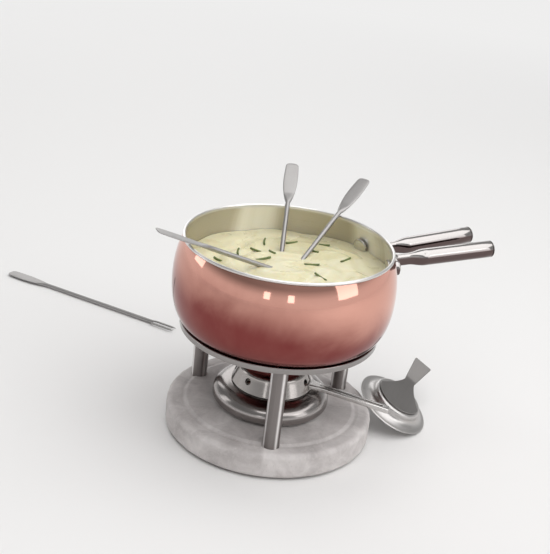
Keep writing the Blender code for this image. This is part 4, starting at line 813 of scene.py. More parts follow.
rivet_profile = np.concatenate([dome * RIVET_OUTSIDE + [0.0, outer_face],
                                [[RIVET_OUTSIDE[0] - RIVET_LIP[0], outer_face - RIVET_LIP[1]],
                                 [RIVET_RADIUS, outer_face - RIVET_LIP[1]], [RIVET_RADIUS, inner_face],
                                 [RIVET_INSIDE[0] - RIVET_EDGE, inner_face],
                                 [RIVET_INSIDE[0], inner_face - RIVET_EDGE]],
                                dome[::-1] * [RIVET_INSIDE[0], -RIVET_DOME]
                                + [0.0, inner_face - RIVET_INSIDE[1] + RIVET_DOME]])
hole_profile = rod(RIVET_HOLE_RADIUS, DRILL_REACH, -DRILL_REACH)
handle_axes = spin(HANDLE_AZIMUTH)
shell_holes, liner_holes = [], []
for which, mirror in (("back", 1.0), ("front", -1.0)):
    flip = np.array([1.0, mirror, 1.0])
    wall_turn = HANDLE_AZIMUTH + mirror * rivet_turn
    outwards = round_axis(math.cos(wall_lean), wall_turn, math.sin(wall_lean))
    on_wall = round_axis(wall_radius, wall_turn, rivet_z)
    tube = skinned(f"grip_tube_{which}", [moved(tube_grid() * flip, handle_axes)])
    drill = moved(turned(hole_profile, 40), facing(outwards), on_wall)
    shell_hole, liner_hole, tube_hole = [skinned("drill", [drill]) for _ in range(3)]
    shell_holes.append(shell_hole)
    liner_holes.append(liner_hole)
    fitted(worked(tube, [tube_hole]), tube_steel, "pot", "polished_steel", f"handle_tube_{which}")
    axis = handle_axes @ (tube_axis * flip)
    axis /= np.linalg.norm(axis)
    cap = moved(turned(cap_profile, 56), facing(axis), handle_axes @ (tube_end * flip) + axis * WALL_GAP)
    fitted(skinned(f"tube_cap_{which}", [cap]), cap_steel, "pot", "polished_steel", f"handle_end_cap_{which}")
    rivet = moved(turned(rivet_profile, 48), facing(outwards), on_wall)
    fitted(skinned(f"wall_rivet_{which}", [rivet]), rivet_steel, "pot", "satin_steel",
           f"handle_rivet_{which}")

# Both bowls are drilled for the rivets, so they are finished only here.
copper_bowl = worked(skinned("copper_bowl", [turned(shell_profile, 240)]), shell_holes)
fitted(copper_bowl, copper, "pot", "copper", "pot_shell")
steel_bowl = worked(skinned("steel_bowl", [turned(liner_profile, 240)]), liner_holes)
fitted(steel_bowl, liner_steel, "pot", "satin_steel", "pot_liner")

# Melted cheese: fills the pot to about two thirds, thick and pale, with a skin of soft folds that clings a
# little higher along the wall. Cut chives lie on it, half sunk.
CHEESE_LEVEL = 0.1592
CHEESE_CLING = 0.0010
CHEESE_CLING_FROM = 0.93
CHEESE_FOLD = 0.0013
CHEESE_FOLD_WAVES = ((0.050, 9, 21), (0.020, 14, 22))
CHEESE_FINE_FOLD = 0.45
CHEESE_GAP = 0.0003
CHEESE_LEAN = 0.0022
CHEESE_MOUND = (0.0050, -0.0040, 0.0480, 0.0052)
CHEESE_SWIRL = (0.0250, 0.00115)
CHEESE_SWIRL_WAVES = (0.045, 9, 23)
CHEESE_SWIRL_STRAY = 1.6
CHEESE_SWIRL_FADE = 0.02
CHEESE_SWIRL_REACH = 0.088
CHEESE_TONES = ((0.71, 0.650, 0.395, 1.0), (0.82, 0.775, 0.545, 1.0))
CHEESE_GRAIN_TONE = (0.91, 0.885, 0.68, 1.0)
CHEESE_GRAIN_RUN = (0.0, 0.3, 0.5, 0.75)
CHEESE_ROUGH = (0.22, 0.34)
CHEESE_RELIEF = 0.0006
CHEESE_GRAIN = 0.00006
cheese_floor = float(liner_inside[0][1]) + CHEESE_GAP


def cheese_height(x, y):
    """Height of the skin: the level, a lean up to the right, a bell-shaped mound where it is stirred, soft
    folds of two sizes, and a spoon's spiral: a sine of the distance from the mound plus twice the turn."""
    flat = np.stack([x, y, np.zeros_like(x)], axis=-1)
    wide_folds, fine_folds = [uneven(flat, *waves) for waves in CHEESE_FOLD_WAVES]
    folds = wide_folds + CHEESE_FINE_FOLD * fine_folds
    spot_x, spot_y, spread, rise = CHEESE_MOUND
    mound = rise * np.exp(-((x - spot_x) ** 2 + (y - spot_y) ** 2) / (2.0 * spread ** 2))
    way, out = np.arctan2(y - spot_y, x - spot_x), np.hypot(x - spot_x, y - spot_y)
    length, swirl_height = CHEESE_SWIRL
    stray = CHEESE_SWIRL_STRAY * uneven(flat, *CHEESE_SWIRL_WAVES)
    swirl = np.sin(2.0 * math.pi * out / length + 2.0 * way + stray)
    swirl *= (swirl_height * np.clip(out / CHEESE_SWIRL_FADE, 0.0, 1.0)
              * np.clip((CHEESE_SWIRL_REACH - out) / CHEESE_SWIRL_FADE, 0.0, 1.0))
    return CHEESE_LEVEL + CHEESE_LEAN * x / belly_radius + mound + CHEESE_FOLD * folds + swirl


def cheese_grid(columns=200):
    """Rows outwards over the skin to the wall, down along the inside of the bowl, and in underneath."""
    turn = whole_turn(columns)
    edge_guess = pot_radius(CHEESE_LEVEL, liner_wall) - CHEESE_GAP
    edge_high = cheese_height(edge_guess * np.cos(turn), edge_guess * np.sin(turn)) + CHEESE_CLING
    edge = pot_radius(edge_high, liner_wall) - CHEESE_GAP
    share = np.concatenate([np.linspace(0.0, 0.96, 70), np.linspace(0.965, 1.0, 10)])[:, None]
    x, y = share * edge * np.cos(turn), share * edge * np.sin(turn)
    cling = CHEESE_CLING * np.clip((share - CHEESE_CLING_FROM) / (1.0 - CHEESE_CLING_FROM), 0.0, 1.0) ** 3
    skin = np.stack([x, y, np.where(share < 1.0, cheese_height(x, y) + cling, edge_high)], axis=-1)
    drop = np.linspace(0.0, 1.0, 26)[1:, None]
    high = edge_high + (cheese_floor - edge_high) * drop
    radius = pot_radius(high, liner_wall) - CHEESE_GAP
    side = round_axis(radius, turn, high)
    return np.concatenate([skin, side, side[-1:] * [0.0, 0.0, 1.0]])


cheese = new_finish("melted_cheese", Subsurface_Weight=0.25, Subsurface_Radius=(0.012, 0.008, 0.004),
                    Subsurface_Scale=0.25, Specular_IOR_Level=0.45)
cheese_clouds = cloudy(cheese, object_place(cheese), scale=34.0, detail=4.0, roughness=0.5, distortion=0.8)
cheese_grains = cloudy(cheese, object_place(cheese), scale=420.0, detail=4.0, roughness=0.6)
cheese_tone = two_toned(cheese, cheese_clouds, CHEESE_TONES)
grain_share = between(cheese, cheese_grains, *CHEESE_GRAIN_RUN)
feed(cheese, "Base Color", blended(cheese, grain_share, cheese_tone, CHEESE_GRAIN_TONE))
feed(cheese, "Roughness", between(cheese, cheese_clouds, *CHEESE_ROUGH))
cheese_relief = embossed(cheese, cheese_clouds, CHEESE_RELIEF)
feed(cheese, "Normal", embossed(cheese, cheese_grains, CHEESE_GRAIN, 1.0, cheese_relief))
fitted(skinned("melted_cheese", [cheese_grid()], crease=60.0), cheese, "pot", None)

CHIVE_RADIUS = 0.0010
CHIVE_BORE = 0.0006
CHIVE_BORE_DEPTH = 0.002
CHIVE_BOW = 0.0006
CHIVE_PROUD = 0.55
CHIVE_SIDES = 12
CHIVE_TONES = ((0.075, 0.110, 0.030, 1.0), (0.205, 0.255, 0.090, 1.0))
CHIVE_ROUGH = (0.40, 0.60)
CHIVE_RIBS = 0.00015
CHIVE_SPOTS = [(-0.0203, 0.0132, 36.0, 0.0165), (-0.0276, 0.0376, -36.0, 0.0116),
               (-0.0439, 0.0311, -93.0, 0.0140), (-0.0191, 0.0613, -94.0, 0.0150),
               (0.0073, 0.0616, 26.0, 0.0120), (0.0236, 0.0079, 9.0, 0.0141),
               (0.0291, -0.0212, -58.0, 0.0165), (0.0565, 0.0272, 50.0, 0.0145),
               (-0.0125, 0.0310, -47.0, 0.0080), (0.0280, 0.0395, -23.0, 0.0070),
               (0.0385, 0.0640, 2.0, 0.0107), (-0.0620, 0.0100, -47.0, 0.0100)]
chive = new_finish("cut_chive", Specular_IOR_Level=0.4)
chive_lines = cloudy(chive, object_place(chive), scale=650.0, detail=4.0, roughness=0.6)
feed(chive, "Base Color", two_toned(chive, chive_lines, CHIVE_TONES))
feed(chive, "Roughness", between(chive, chive_lines, *CHIVE_ROUGH))
feed(chive, "Normal", embossed(chive, chive_lines, CHIVE_RIBS))


def chive_grid(x, y, heading, length):
    """A short hollow stalk lying along a heading: rows of circles from the bottom of one bore out over its
    rim, along the outside with a slight bow, and into the other bore."""
    half = length / 2.0
    deep = half - CHIVE_BORE_DEPTH
    along = np.concatenate([[-deep, -deep, -half, -half], np.linspace(-half, half, 12)[1:-1],
                            [half, half, deep, deep]])
    radius = np.concatenate([[0.0, CHIVE_BORE, CHIVE_BORE, CHIVE_RADIUS], np.full(10, CHIVE_RADIUS),
                             [CHIVE_RADIUS, CHIVE_BORE, CHIVE_BORE, 0.0]])
    bow = CHIVE_BOW * (along / half) ** 2
    turn = whole_turn(CHIVE_SIDES)
    local = np.stack([np.repeat(along[:, None], CHIVE_SIDES, axis=1),
                      np.outer(radius, np.cos(turn)) + bow[:, None], np.outer(radius, np.sin(turn))], axis=-1)
    axes = spin(math.radians(heading))
    spots = np.array([x, y]) + np.outer([-half, 0.0, half], axes[:2, 0])
    high = cheese_height(spots[:, 0], spots[:, 1]).mean() + CHIVE_PROUD * CHIVE_RADIUS
    return moved(local, axes, (x, y, high))


fitted(skinned("cut_chives", [chive_grid(*spot) for spot in CHIVE_SPOTS]), chive, "pot", None)

# Burner body: a squat spun steel shell with a rounded shoulder and a band round its widest part. The fuel cup
# hangs in its mouth by a flange.
BURNER_FOOT_RADIUS = 0.0450
BURNER_BAND = (0.0055, 0.0080)
BURNER_WALL = 0.0010
BURNER_MOUTH = 0.0355
BURNER_MOUTH_EDGE = 0.0002
BURNER_COLLAR = 0.0380
body_low, body_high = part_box("burner_body")
burner_radius = body_high.x
burner_top = body_high.z - body_low.z
burner_steel = spun_steel("spun_burner_steel", tone=(0.38, 0.355, 0.345), rough=(0.11, 0.22),
                          scratch=0.000012)


def quarter_arc(centre, radii, start, end, count):
    """Points of an elliptic arc in a profile, angles in degrees."""
    turn = np.radians(np.linspace(start, end, count))[:, None]
    return np.concatenate([np.cos(turn), np.sin(turn)], axis=1) * radii + centre


under_centre = (BURNER_FOOT_RADIUS, BURNER_BAND[0])
under_radii = np.array([burner_radius - BURNER_FOOT_RADIUS, BURNER_BAND[0]])
over_centre = (BURNER_COLLAR, BURNER_BAND[1])
over_radii = np.array([burner_radius - BURNER_COLLAR, burner_top - BURNER_BAND[1]])
body_profile = np.concatenate([
    [[0.0, BURNER_WALL]],
    quarter_arc(under_centre, under_radii - BURNER_WALL, -90.0, 0.0, 12),
    quarter_arc(over_centre, over_radii - BURNER_WALL, 0.0, 90.0, 20),
    [[BURNER_MOUTH, burner_top - BURNER_WALL], [BURNER_MOUTH, burner_top - BURNER_MOUTH_EDGE],
     [BURNER_MOUTH + BURNER_MOUTH_EDGE, burner_top]],
    quarter_arc(over_centre, over_radii, 90.0, 0.0, 28),
    quarter_arc(under_centre, under_radii, 0.0, -90.0, 16),
    [[0.0, 0.0]]]) + [0.0, body_low.z]
fitted(skinned("burner_shell", [turned(body_profile, 180)], crease=40.0), burner_steel, "burner",
       "polished_steel", "burner_body")

# Fuel cup, wick and gauze: a flanged steel cup with mineral wool that soaks up the fuel, and a pierced steel
# disc that holds the wool down. A fixed conical collar with seven air holes stands on the flange.
CUP_WALL = 0.0008
CUP_RADIUS = 0.0345
CUP_ROUNDS = (0.0, 0.0010, 0.0004, 0.0003, 0.0003, 0.0003, 0.0015, 0.0)
WOOL_TONES = ((0.36, 0.33, 0.28, 1.0), (0.80, 0.77, 0.70, 1.0))
WOOL_RELIEF = 0.0008
WICK_ROUNDS = (0.0, 0.0012, 0.0012, 0.0)
WICK_FINEST = 0.0016
WICK_UNEVEN = 0.00012
WICK_WAVE = 0.004
WICK_TOP = 0.001
GAUZE_ROUNDS = (0.0, 0.0003, 0.0003, 0.0)
GAUZE_HOLE_RADIUS = 0.0026
GAUZE_CIRCLES = (0.0210, 0.0115)
GAUZE_HOLE_COUNT = 12
PUNCH_PAST = 0.002
COVER_WALL = 0.0010
COVER_SHOULDER = (0.0330, 0.0131)
COVER_MOUTH = 0.0225
COLLAR_GAP = 0.0005
COLLAR_WALL = 0.0008
COLLAR_HEIGHT = 0.0120
COLLAR_EDGE = 0.0002
AIR_HOLE_COUNT = 7
AIR_HOLE_RADIUS = 0.0032
AIR_HOLE_HEIGHT = 0.0088
AIR_HOLE_AZIMUTH = math.radians(-30.0)
AIR_DRILL = (0.004, -0.005)
cup_low, cup_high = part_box("fuel_cup")
wick_low, wick_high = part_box("wick_pad")
gauze_low, gauze_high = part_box("wick_gauze")
cover_low, cover_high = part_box("regulator_cover")
cup_inner = CUP_RADIUS - CUP_WALL
cup_floor = cup_low.z + CUP_WALL
flange_under = cup_high.z - CUP_WALL
cup_profile = rounded([(0.0, cup_floor), (cup_inner, cup_floor), (cup_inner, cup_high.z),
                       (cup_high.x, cup_high.z), (cup_high.x, flange_under), (CUP_RADIUS, flange_under),
                       (CUP_RADIUS, cup_low.z), (0.0, cup_low.z)], CUP_ROUNDS, 5)
cup_steel = spun_steel("drawn_cup_steel", tone=(0.54, 0.52, 0.50), rough=(0.25, 0.38), scratch=0.000015)
fitted(skinned("fuel_bowl", [turned(cup_profile, 120)]), cup_steel, "fuel_insert", "satin_steel", "fuel_cup")

wool = new_finish("mineral_wool", Roughness=0.95, Sheen_Weight=0.2)
wool_fibres = cloudy(wool, object_place(wool), scale=500.0, detail=7.0, roughness=0.75, distortion=2.0)
feed(wool, "Base Color", two_toned(wool, wool_fibres, WOOL_TONES))
feed(wool, "Normal", embossed(wool, wool_fibres, WOOL_RELIEF))
wick_profile = rounded(rod(wick_high.x, wick_high.z, wick_low.z), WICK_ROUNDS, 4)
wick_grid = turned(resampled(wick_profile, WICK_FINEST), 110)
wick_sunk = WICK_UNEVEN * (1.0 + uneven(wick_grid, WICK_WAVE))
wick_grid[..., 2] -= wick_sunk * (wick_grid[..., 2] > wick_high.z - WICK_TOP)
fitted(skinned("wool_wick", [wick_grid]), wool, "fuel_insert", "wick", "wick_pad")

gauze_steel = brushed_steel("scorched_gauze_steel", tone=(0.40, 0.36, 0.32), rough=(0.34, 0.48),
                            stretch=(600.0, 600.0, 600.0))
gauze_profile = rounded(rod(gauze_high.x, gauze_high.z, gauze_low.z), GAUZE_ROUNDS, 3)
punch = turned(rod(GAUZE_HOLE_RADIUS, gauze_high.z + PUNCH_PAST, gauze_low.z - PUNCH_PAST), 20)
punch_circle = np.resize(GAUZE_CIRCLES, GAUZE_HOLE_COUNT)
punch_spots = round_axis(punch_circle, whole_turn(GAUZE_HOLE_COUNT), 0.0)
punch_grids = [punch + spot for spot in punch_spots]
gauze = worked(skinned("pierced_gauze", [turned(gauze_profile, 96)]), [skinned("punch", punch_grids)])
fitted(gauze, gauze_steel, "fuel_insert", "satin_steel", "wick_gauze")

cover_side = np.array([COVER_SHOULDER[0] - BURNER_COLLAR, COVER_SHOULDER[1]])
cover_normal = np.array([cover_side[1], -cover_side[0]]) / np.linalg.norm(cover_side)


def on_cover(height, depth=0.0):
    """Radius and height of the cover's cone at a height above its foot, moved in along its normal."""
    radius = BURNER_COLLAR + cover_side[0] * height / COVER_SHOULDER[1]
    return np.array([radius, cover_low.z + height]) - cover_normal * depth


def air_drills():
    """Seven short rods square to the cone, to cut the air holes with."""
    drill = turned(rod(AIR_HOLE_RADIUS, *AIR_DRILL), 36)
    middle = on_cover(AIR_HOLE_HEIGHT)
    grids = []
    for turn in AIR_HOLE_AZIMUTH + whole_turn(AIR_HOLE_COUNT):
        outwards, spot = [round_axis(radius, turn, height) for radius, height in (cover_normal, middle)]
        grids.append(moved(drill, facing(outwards), spot))
    return [skinned("air_drill", grids)]


collar_out = COVER_WALL + COLLAR_GAP
collar_in = collar_out + COLLAR_WALL
collar_foot = cover_normal[1] * collar_in
collar_top = COLLAR_HEIGHT + collar_foot
collar_profile = rounded([on_cover(collar_top, collar_out), on_cover(collar_foot, collar_out),
                          on_cover(collar_foot, collar_in), on_cover(collar_top, collar_in)],
                         [COLLAR_EDGE] * 4, 3, closed=True)
collar = worked(skinned("fixed_collar", [turned(collar_profile, 140)], ring=True), air_drills())
fitted(collar, cup_steel, "fuel_insert", "satin_steel", "air_collar")

# Regulator cover: a spun steel cap over the collar, with the flame's mouth in its crown and seven air holes
# that its handle turns open or shut.
COVER_EDGE = 0.0006
COVER_FINEST = 0.002
cover_shoulder_z = cover_low.z + COVER_SHOULDER[1]
crown = np.array([COVER_SHOULDER[0] - COVER_MOUTH, cover_high.z - cover_shoulder_z])
crown_centre = (COVER_MOUTH, cover_shoulder_z)
cover_foot = on_cover(0.0, COVER_WALL)
cover_profile = np.concatenate([
    quarter_arc(crown_centre, crown, 90.0, 2.0, 16),
    resampled([on_cover(COVER_SHOULDER[1] - COVER_EDGE), on_cover(0.0)], COVER_FINEST),
    [[cover_foot[0] + cover_normal[1] * COVER_WALL, cover_low.z]],
    resampled([on_cover(COVER_EDGE, COVER_WALL), on_cover(COVER_SHOULDER[1], COVER_WALL)], COVER_FINEST),
    quarter_arc(crown_centre, crown - COVER_WALL, 20.0, 90.0, 12)])
cover_steel = spun_steel("spun_cover_steel", tone=(0.40, 0.375, 0.36), rough=(0.10, 0.20), scratch=0.00001)
cover = skinned("turning_cover", [turned(cover_profile, 168)], ring=True, crease=40.0)
fitted(worked(cover, air_drills(), crease=40.0), cover_steel, "regulator", "polished_steel",
       "regulator_cover")

# Regulator handle: a strip of steel folded lengthwise so that its two edges meet along a groove, flared at
# the root and spot-welded to a curved flange on the cover.
REGULATOR_AZIMUTH = math.radians(-15.5)
REGULATOR_REACH = 0.0761
REGULATOR_DROP = math.radians(6.6)
REGULATOR_HEIGHT = 0.0036
REGULATOR_HALF_WIDTH = 0.0043
REGULATOR_HALF_THICK = 0.0024
REGULATOR_START = 0.0009
REGULATOR_ROOT = (0.0065, 0.0130)
REGULATOR_ROOT_ROWS = 0.0160
REGULATOR_ROOT_SLANT = 0.006
REGULATOR_MIDDLE_ROWS = (0.0180, 0.0120)
REGULATOR_END_ROWS = (0.0115, 0.0002)
REGULATOR_GROOVE = (0.0012, 0.0030)
REGULATOR_GROOVE_SHARE = 0.5
REGULATOR_GROOVE_START = (0.003, 0.005)
REGULATOR_GROOVE_END = (0.0062, 0.0025)
REGULATOR_GROOVE_LEAST = 0.00005
REGULATOR_ROUND = 0.0014
REGULATOR_GROOVE_ROUNDS = (0.0004, 0.0005, 0.0005, 0.0004)
REGULATOR_END_ROUND = 0.0019
REGULATOR_END_THIN = 0.55
FLANGE_HALF_ANGLE = math.radians(10.0)
FLANGE_HEIGHT = 0.0056
FLANGE_THICK = 0.0012
FLANGE_ROUNDS = (0.0002, 0.0004, 0.0005, 0.0002)


def tilted(angle):
    """Axes turned about Y by an angle, as columns."""
    return np.array([[math.cos(angle), 0.0, math.sin(angle)], [0.0, 1.0, 0.0],
                     [-math.sin(angle), 0.0, math.cos(angle)]])


def end_fall(along, end, radius):
    """How far a side has drawn in where it rounds off to an end: the radius less the root of its square
    less the square of the way past the start of the rounding."""
    past = np.clip(along - end + radius, 0.0, radius)
    return radius - np.sqrt(radius ** 2 - past ** 2)


def bar_grid():
    """The strip along X: at each station a rounded rectangle with a groove cut into its top. The half width
    eases from the flared root to the strip and rounds off at the end, and the groove fades in and out."""
    root_half, root_end = REGULATOR_ROOT
    groove_half, groove_depth = REGULATOR_GROOVE
    end = REGULATOR_REACH / math.cos(REGULATOR_DROP)
    round_start = end - REGULATOR_END_ROUND
    along = np.concatenate([np.linspace(REGULATOR_START, REGULATOR_ROOT_ROWS, 18),
                            np.linspace(REGULATOR_MIDDLE_ROWS[0], end - REGULATOR_MIDDLE_ROWS[1], 14),
                            np.linspace(end - REGULATOR_END_ROWS[0], round_start - REGULATOR_END_ROWS[1], 20),
                            round_start + np.sin(np.linspace(0.0, math.pi / 2.0, 12)) * REGULATOR_END_ROUND])
    fall = end_fall(along, end, REGULATOR_END_ROUND)
    wide = REGULATOR_HALF_WIDTH + (root_half - REGULATOR_HALF_WIDTH) * (1.0 - ease(along / root_end)) - fall
    slim = REGULATOR_HALF_THICK - REGULATOR_END_THIN * fall
    fade_in = ease((along - root_end + REGULATOR_GROOVE_START[0]) / REGULATOR_GROOVE_START[1])
    fade_out = ease((end - REGULATOR_GROOVE_END[0] - along) / REGULATOR_GROOVE_END[1])
    depth = groove_depth * (fade_in * fade_out) + REGULATOR_GROOVE_LEAST
    rounds = [REGULATOR_ROUND] * 3 + [*REGULATOR_GROOVE_ROUNDS] + [REGULATOR_ROUND]
    rows = []
    for x, half, thick, deep in zip(along, wide, slim, depth):
        groove = min(groove_half, REGULATOR_GROOVE_SHARE * half)
        section = rounded([(-half, -thick), (half, -thick), (half, thick), (groove, thick),
                           (groove, thick - deep), (-groove, thick - deep), (-groove, thick), (-half, thick)],
                          rounds, 5, closed=True)
        slant = section[:, 1] * (cover_side[0] / cover_side[1])
        slant *= 1.0 - ease((x - REGULATOR_START) / REGULATOR_ROOT_SLANT)
        rows.append(np.stack([x + slant, section[:, 0], section[:, 1]], axis=1))
    return capped(np.stack(rows))


def flange_grid():
    """The curved flange: a rounded rectangle standing off the cone, carried round the axis."""
    turn = REGULATOR_AZIMUTH + np.linspace(-FLANGE_HALF_ANGLE, FLANGE_HALF_ANGLE, 30)
    near, far = -WALL_GAP, -WALL_GAP - FLANGE_THICK
    corners = [on_cover(WALL_GAP, near), on_cover(WALL_GAP, far), on_cover(WALL_GAP + FLANGE_HEIGHT, far),
               on_cover(WALL_GAP + FLANGE_HEIGHT, near)]
    section = rounded(corners, FLANGE_ROUNDS, 4, closed=True)
    return capped(round_axis(section[:, 0], turn[:, None], section[:, 1]))


bar_steel = brushed_steel("folded_strip_steel", tone=(0.64, 0.62, 0.605), rough=(0.16, 0.28),
                          stretch=(30.0, 1500.0, 1500.0), turn=(0.0, 0.0, -REGULATOR_AZIMUTH))
bar_axes = spin(REGULATOR_AZIMUTH) @ tilted(REGULATOR_DROP)
bar_radius, bar_height = on_cover(REGULATOR_HEIGHT)
bar_place = round_axis(bar_radius, REGULATOR_AZIMUTH, bar_height)
bar = skinned("folded_handle", [moved(bar_grid(), bar_axes, bar_place)])
bar = worked(bar, [skinned("weld_flange", [flange_grid()])], 'UNION')
fitted(bar, bar_steel, "regulator", "polished_steel", "regulator_handle")

# Snuffer: a spun cap that smothers the flame, here put aside against the stone. A satin plate is welded on
# its top and drawn out into a flared, turned-up tail to pick it up by.
LID_RADIUS = 0.0372
LID_HEIGHT = 0.0112
LID_TOP_RADIUS = 0.0225
LID_FLAT_RADIUS = 0.97 * LID_TOP_RADIUS
LID_SHOULDER = (0.0262, 0.0040)
LID_WALL = 0.0010
LID_BRIM = [(LID_RADIUS + 0.0001, LID_WALL * 0.6), (LID_RADIUS, 0.0001), (LID_RADIUS - 0.0004, 0.0)]
LID_CENTRE = (0.122566, 0.027172, 0.017407)
LID_LEAN = math.radians(27.3777)
LID_LEAN_AZIMUTH = math.radians(-21.0)
PLATE_RADIUS = 0.0225
PLATE_THICK = 0.0014
PLATE_TIP = math.radians(3.0)
PLATE_ROUNDS = (0.0003, 0.0003, 0.0005, 0.0005)
TAIL_AZIMUTH = math.radians(66.0)
TAIL_NECK = (0.0370, 0.0058)
TAIL_END = (0.0340, 0.0102)
TAIL_RISE = math.radians(16.0)
TAIL_BEND = 0.0060
TAIL_TAPER_POWER = 1.5
TAIL_ROUND = 0.0012
lid_axes = spin(LID_LEAN_AZIMUTH) @ tilted(LID_LEAN) @ spin(TAIL_AZIMUTH - LID_LEAN_AZIMUTH)
shoulder_high = LID_HEIGHT - LID_SHOULDER[1]
shoulder_centre = (LID_TOP_RADIUS, shoulder_high)
shoulder_radii = np.array([LID_SHOULDER[0] - LID_TOP_RADIUS, LID_SHOULDER[1]])
flare_centre = (LID_RADIUS, shoulder_high)
flare_radii = np.array([LID_RADIUS - LID_SHOULDER[0], shoulder_high - LID_WALL])
lid_profile = np.concatenate([
    [[0.0, LID_HEIGHT], [LID_FLAT_RADIUS, LID_HEIGHT]],
    quarter_arc(shoulder_centre, shoulder_radii, 90.0, 0.0, 12),
    quarter_arc(flare_centre, flare_radii, 180.0, 268.0, 18)[1:],
    LID_BRIM,
    quarter_arc(flare_centre, flare_radii + LID_WALL, 256.0, 180.0, 16),
    quarter_arc(shoulder_centre, shoulder_radii - LID_WALL, 0.0, 90.0, 8)[1:],
    [[0.0, LID_HEIGHT - LID_WALL]]])
lid_steel = spun_steel("satin_lid_steel", tone=(0.55, 0.532, 0.52), rough=(0.24, 0.34), scratch=0.000012,
                       shift=tuple(-lid_axes.T @ np.array(LID_CENTRE)),
                       turn=tuple(Matrix(lid_axes.T).to_euler()))
lid = skinned("flame_lid", [moved(turned(lid_profile, 150), lid_axes, LID_CENTRE)], crease=60.0)
fitted(lid, lid_steel, "snuffer", "satin_steel", "snuffer_cap")


def plate_grid():
    """The plate along X: at each station a thin rounded rectangle. Its half width follows the circle in
    front, then a hollow taper to the neck, then flares; past the neck it bends up into a straight rise."""
    neck, neck_half = TAIL_NECK
    length, end_half = TAIL_END
    bend_stop = neck + TAIL_BEND
    tail = neck + length * math.cos(TAIL_RISE)
    round_start = tail - TAIL_ROUND
    along = np.concatenate([-PLATE_RADIUS * np.cos(np.linspace(PLATE_TIP, math.pi / 2.0, 22)),
                            np.linspace(0.0, neck, 24)[1:], np.linspace(neck, bend_stop, 10)[1:],
                            np.linspace(bend_stop, round_start, 8)[1:],
                            round_start + TAIL_ROUND * np.sin(np.linspace(0.0, math.pi / 2.0, 6))[1:]])
    front = np.sqrt(np.clip(PLATE_RADIUS ** 2 - along ** 2, 0.0, None))
    left = np.clip(1.0 - along / neck, 0.0, 1.0)
    taper = neck_half + (PLATE_RADIUS - neck_half) * left ** TAIL_TAPER_POWER
    flare = neck_half + (end_half - neck_half) * (along - neck) / length - end_fall(along, tail, TAIL_ROUND)
    half = np.where(along <= 0.0, front, np.where(along <= neck, taper, flare))
    past = np.clip(along - neck, 0.0, None)
    rise = np.where(past <= TAIL_BEND, past ** 2 / (2.0 * TAIL_BEND), past - TAIL_BEND / 2.0)
    low = LID_HEIGHT + WALL_GAP + math.tan(TAIL_RISE) * rise
    rows = []
    for x, wide, base in zip(along, half, low):
        top = base + PLATE_THICK
        section = rounded([(-wide, base), (wide, base), (wide, top), (-wide, top)], PLATE_ROUNDS, 4,
                          closed=True)
        rows.append(np.column_stack([np.full(len(section), x), section]))
    return capped(np.stack(rows))


plate_steel = brushed_steel("brushed_plate_steel", tone=(0.27, 0.258, 0.25), rough=(0.34, 0.46),
                            stretch=(24.0, 1400.0, 1400.0), scratch=0.000012, turn=(0.0, 0.0, -TAIL_AZIMUTH))
plate = skinned("lid_plate", [moved(plate_grid(), lid_axes, LID_CENTRE)])
fitted(plate, plate_steel, "snuffer", "satin_steel", "snuffer_plate")

# Forks: four alike, forged from steel rod and brushed lengthwise. The rod is flattened into a leaf to hold,
# and its other end carries two tines. Three stand in the pot and one lies on the table.
FORK_LENGTH = 0.2300
FORK_SHAFT_RADIUS = 0.0022
FORK_ROOT_ROWS = np.array([0.0, 0.0006, 0.0025])
FORK_SHAFT_ROWS = 0.006
FORK_TINE = (0.0011, 0.0260, 0.0034, 0.0065)
FORK_TINE_MIDDLE = 0.6
FORK_TINE_POINT = 0.3
FORK_PADDLE_LENGTH = 0.0530
FORK_PADDLE_HALF = (0.0070, 0.0008)
FORK_PADDLE_WIDEST = 0.0305
FORK_PADDLE_POWER = 0.75
FORK_PADDLE_END = 0.80
FORK_PADDLE_NECK = 0.0140
FORK_PADDLE_SQUARENESS = 1.6
FORK_END_ROUND = 0.0036
FORK_END_THIN = 0.75
FORKS = {"back": ((-0.010015, -0.062910, 0.108600), (0.061591, 0.880797, 0.469472)),
         "left": ((0.086949, 0.029934, 0.122397), (-0.880184, -0.320361, 0.350207)),
         "right": ((-0.034544, -0.056795, 0.116003), (0.478802, 0.766243, 0.428510)),
         "table": ((-0.100500, 0.178500, 0.002200), (-0.874620, 0.484810, 0.0))}


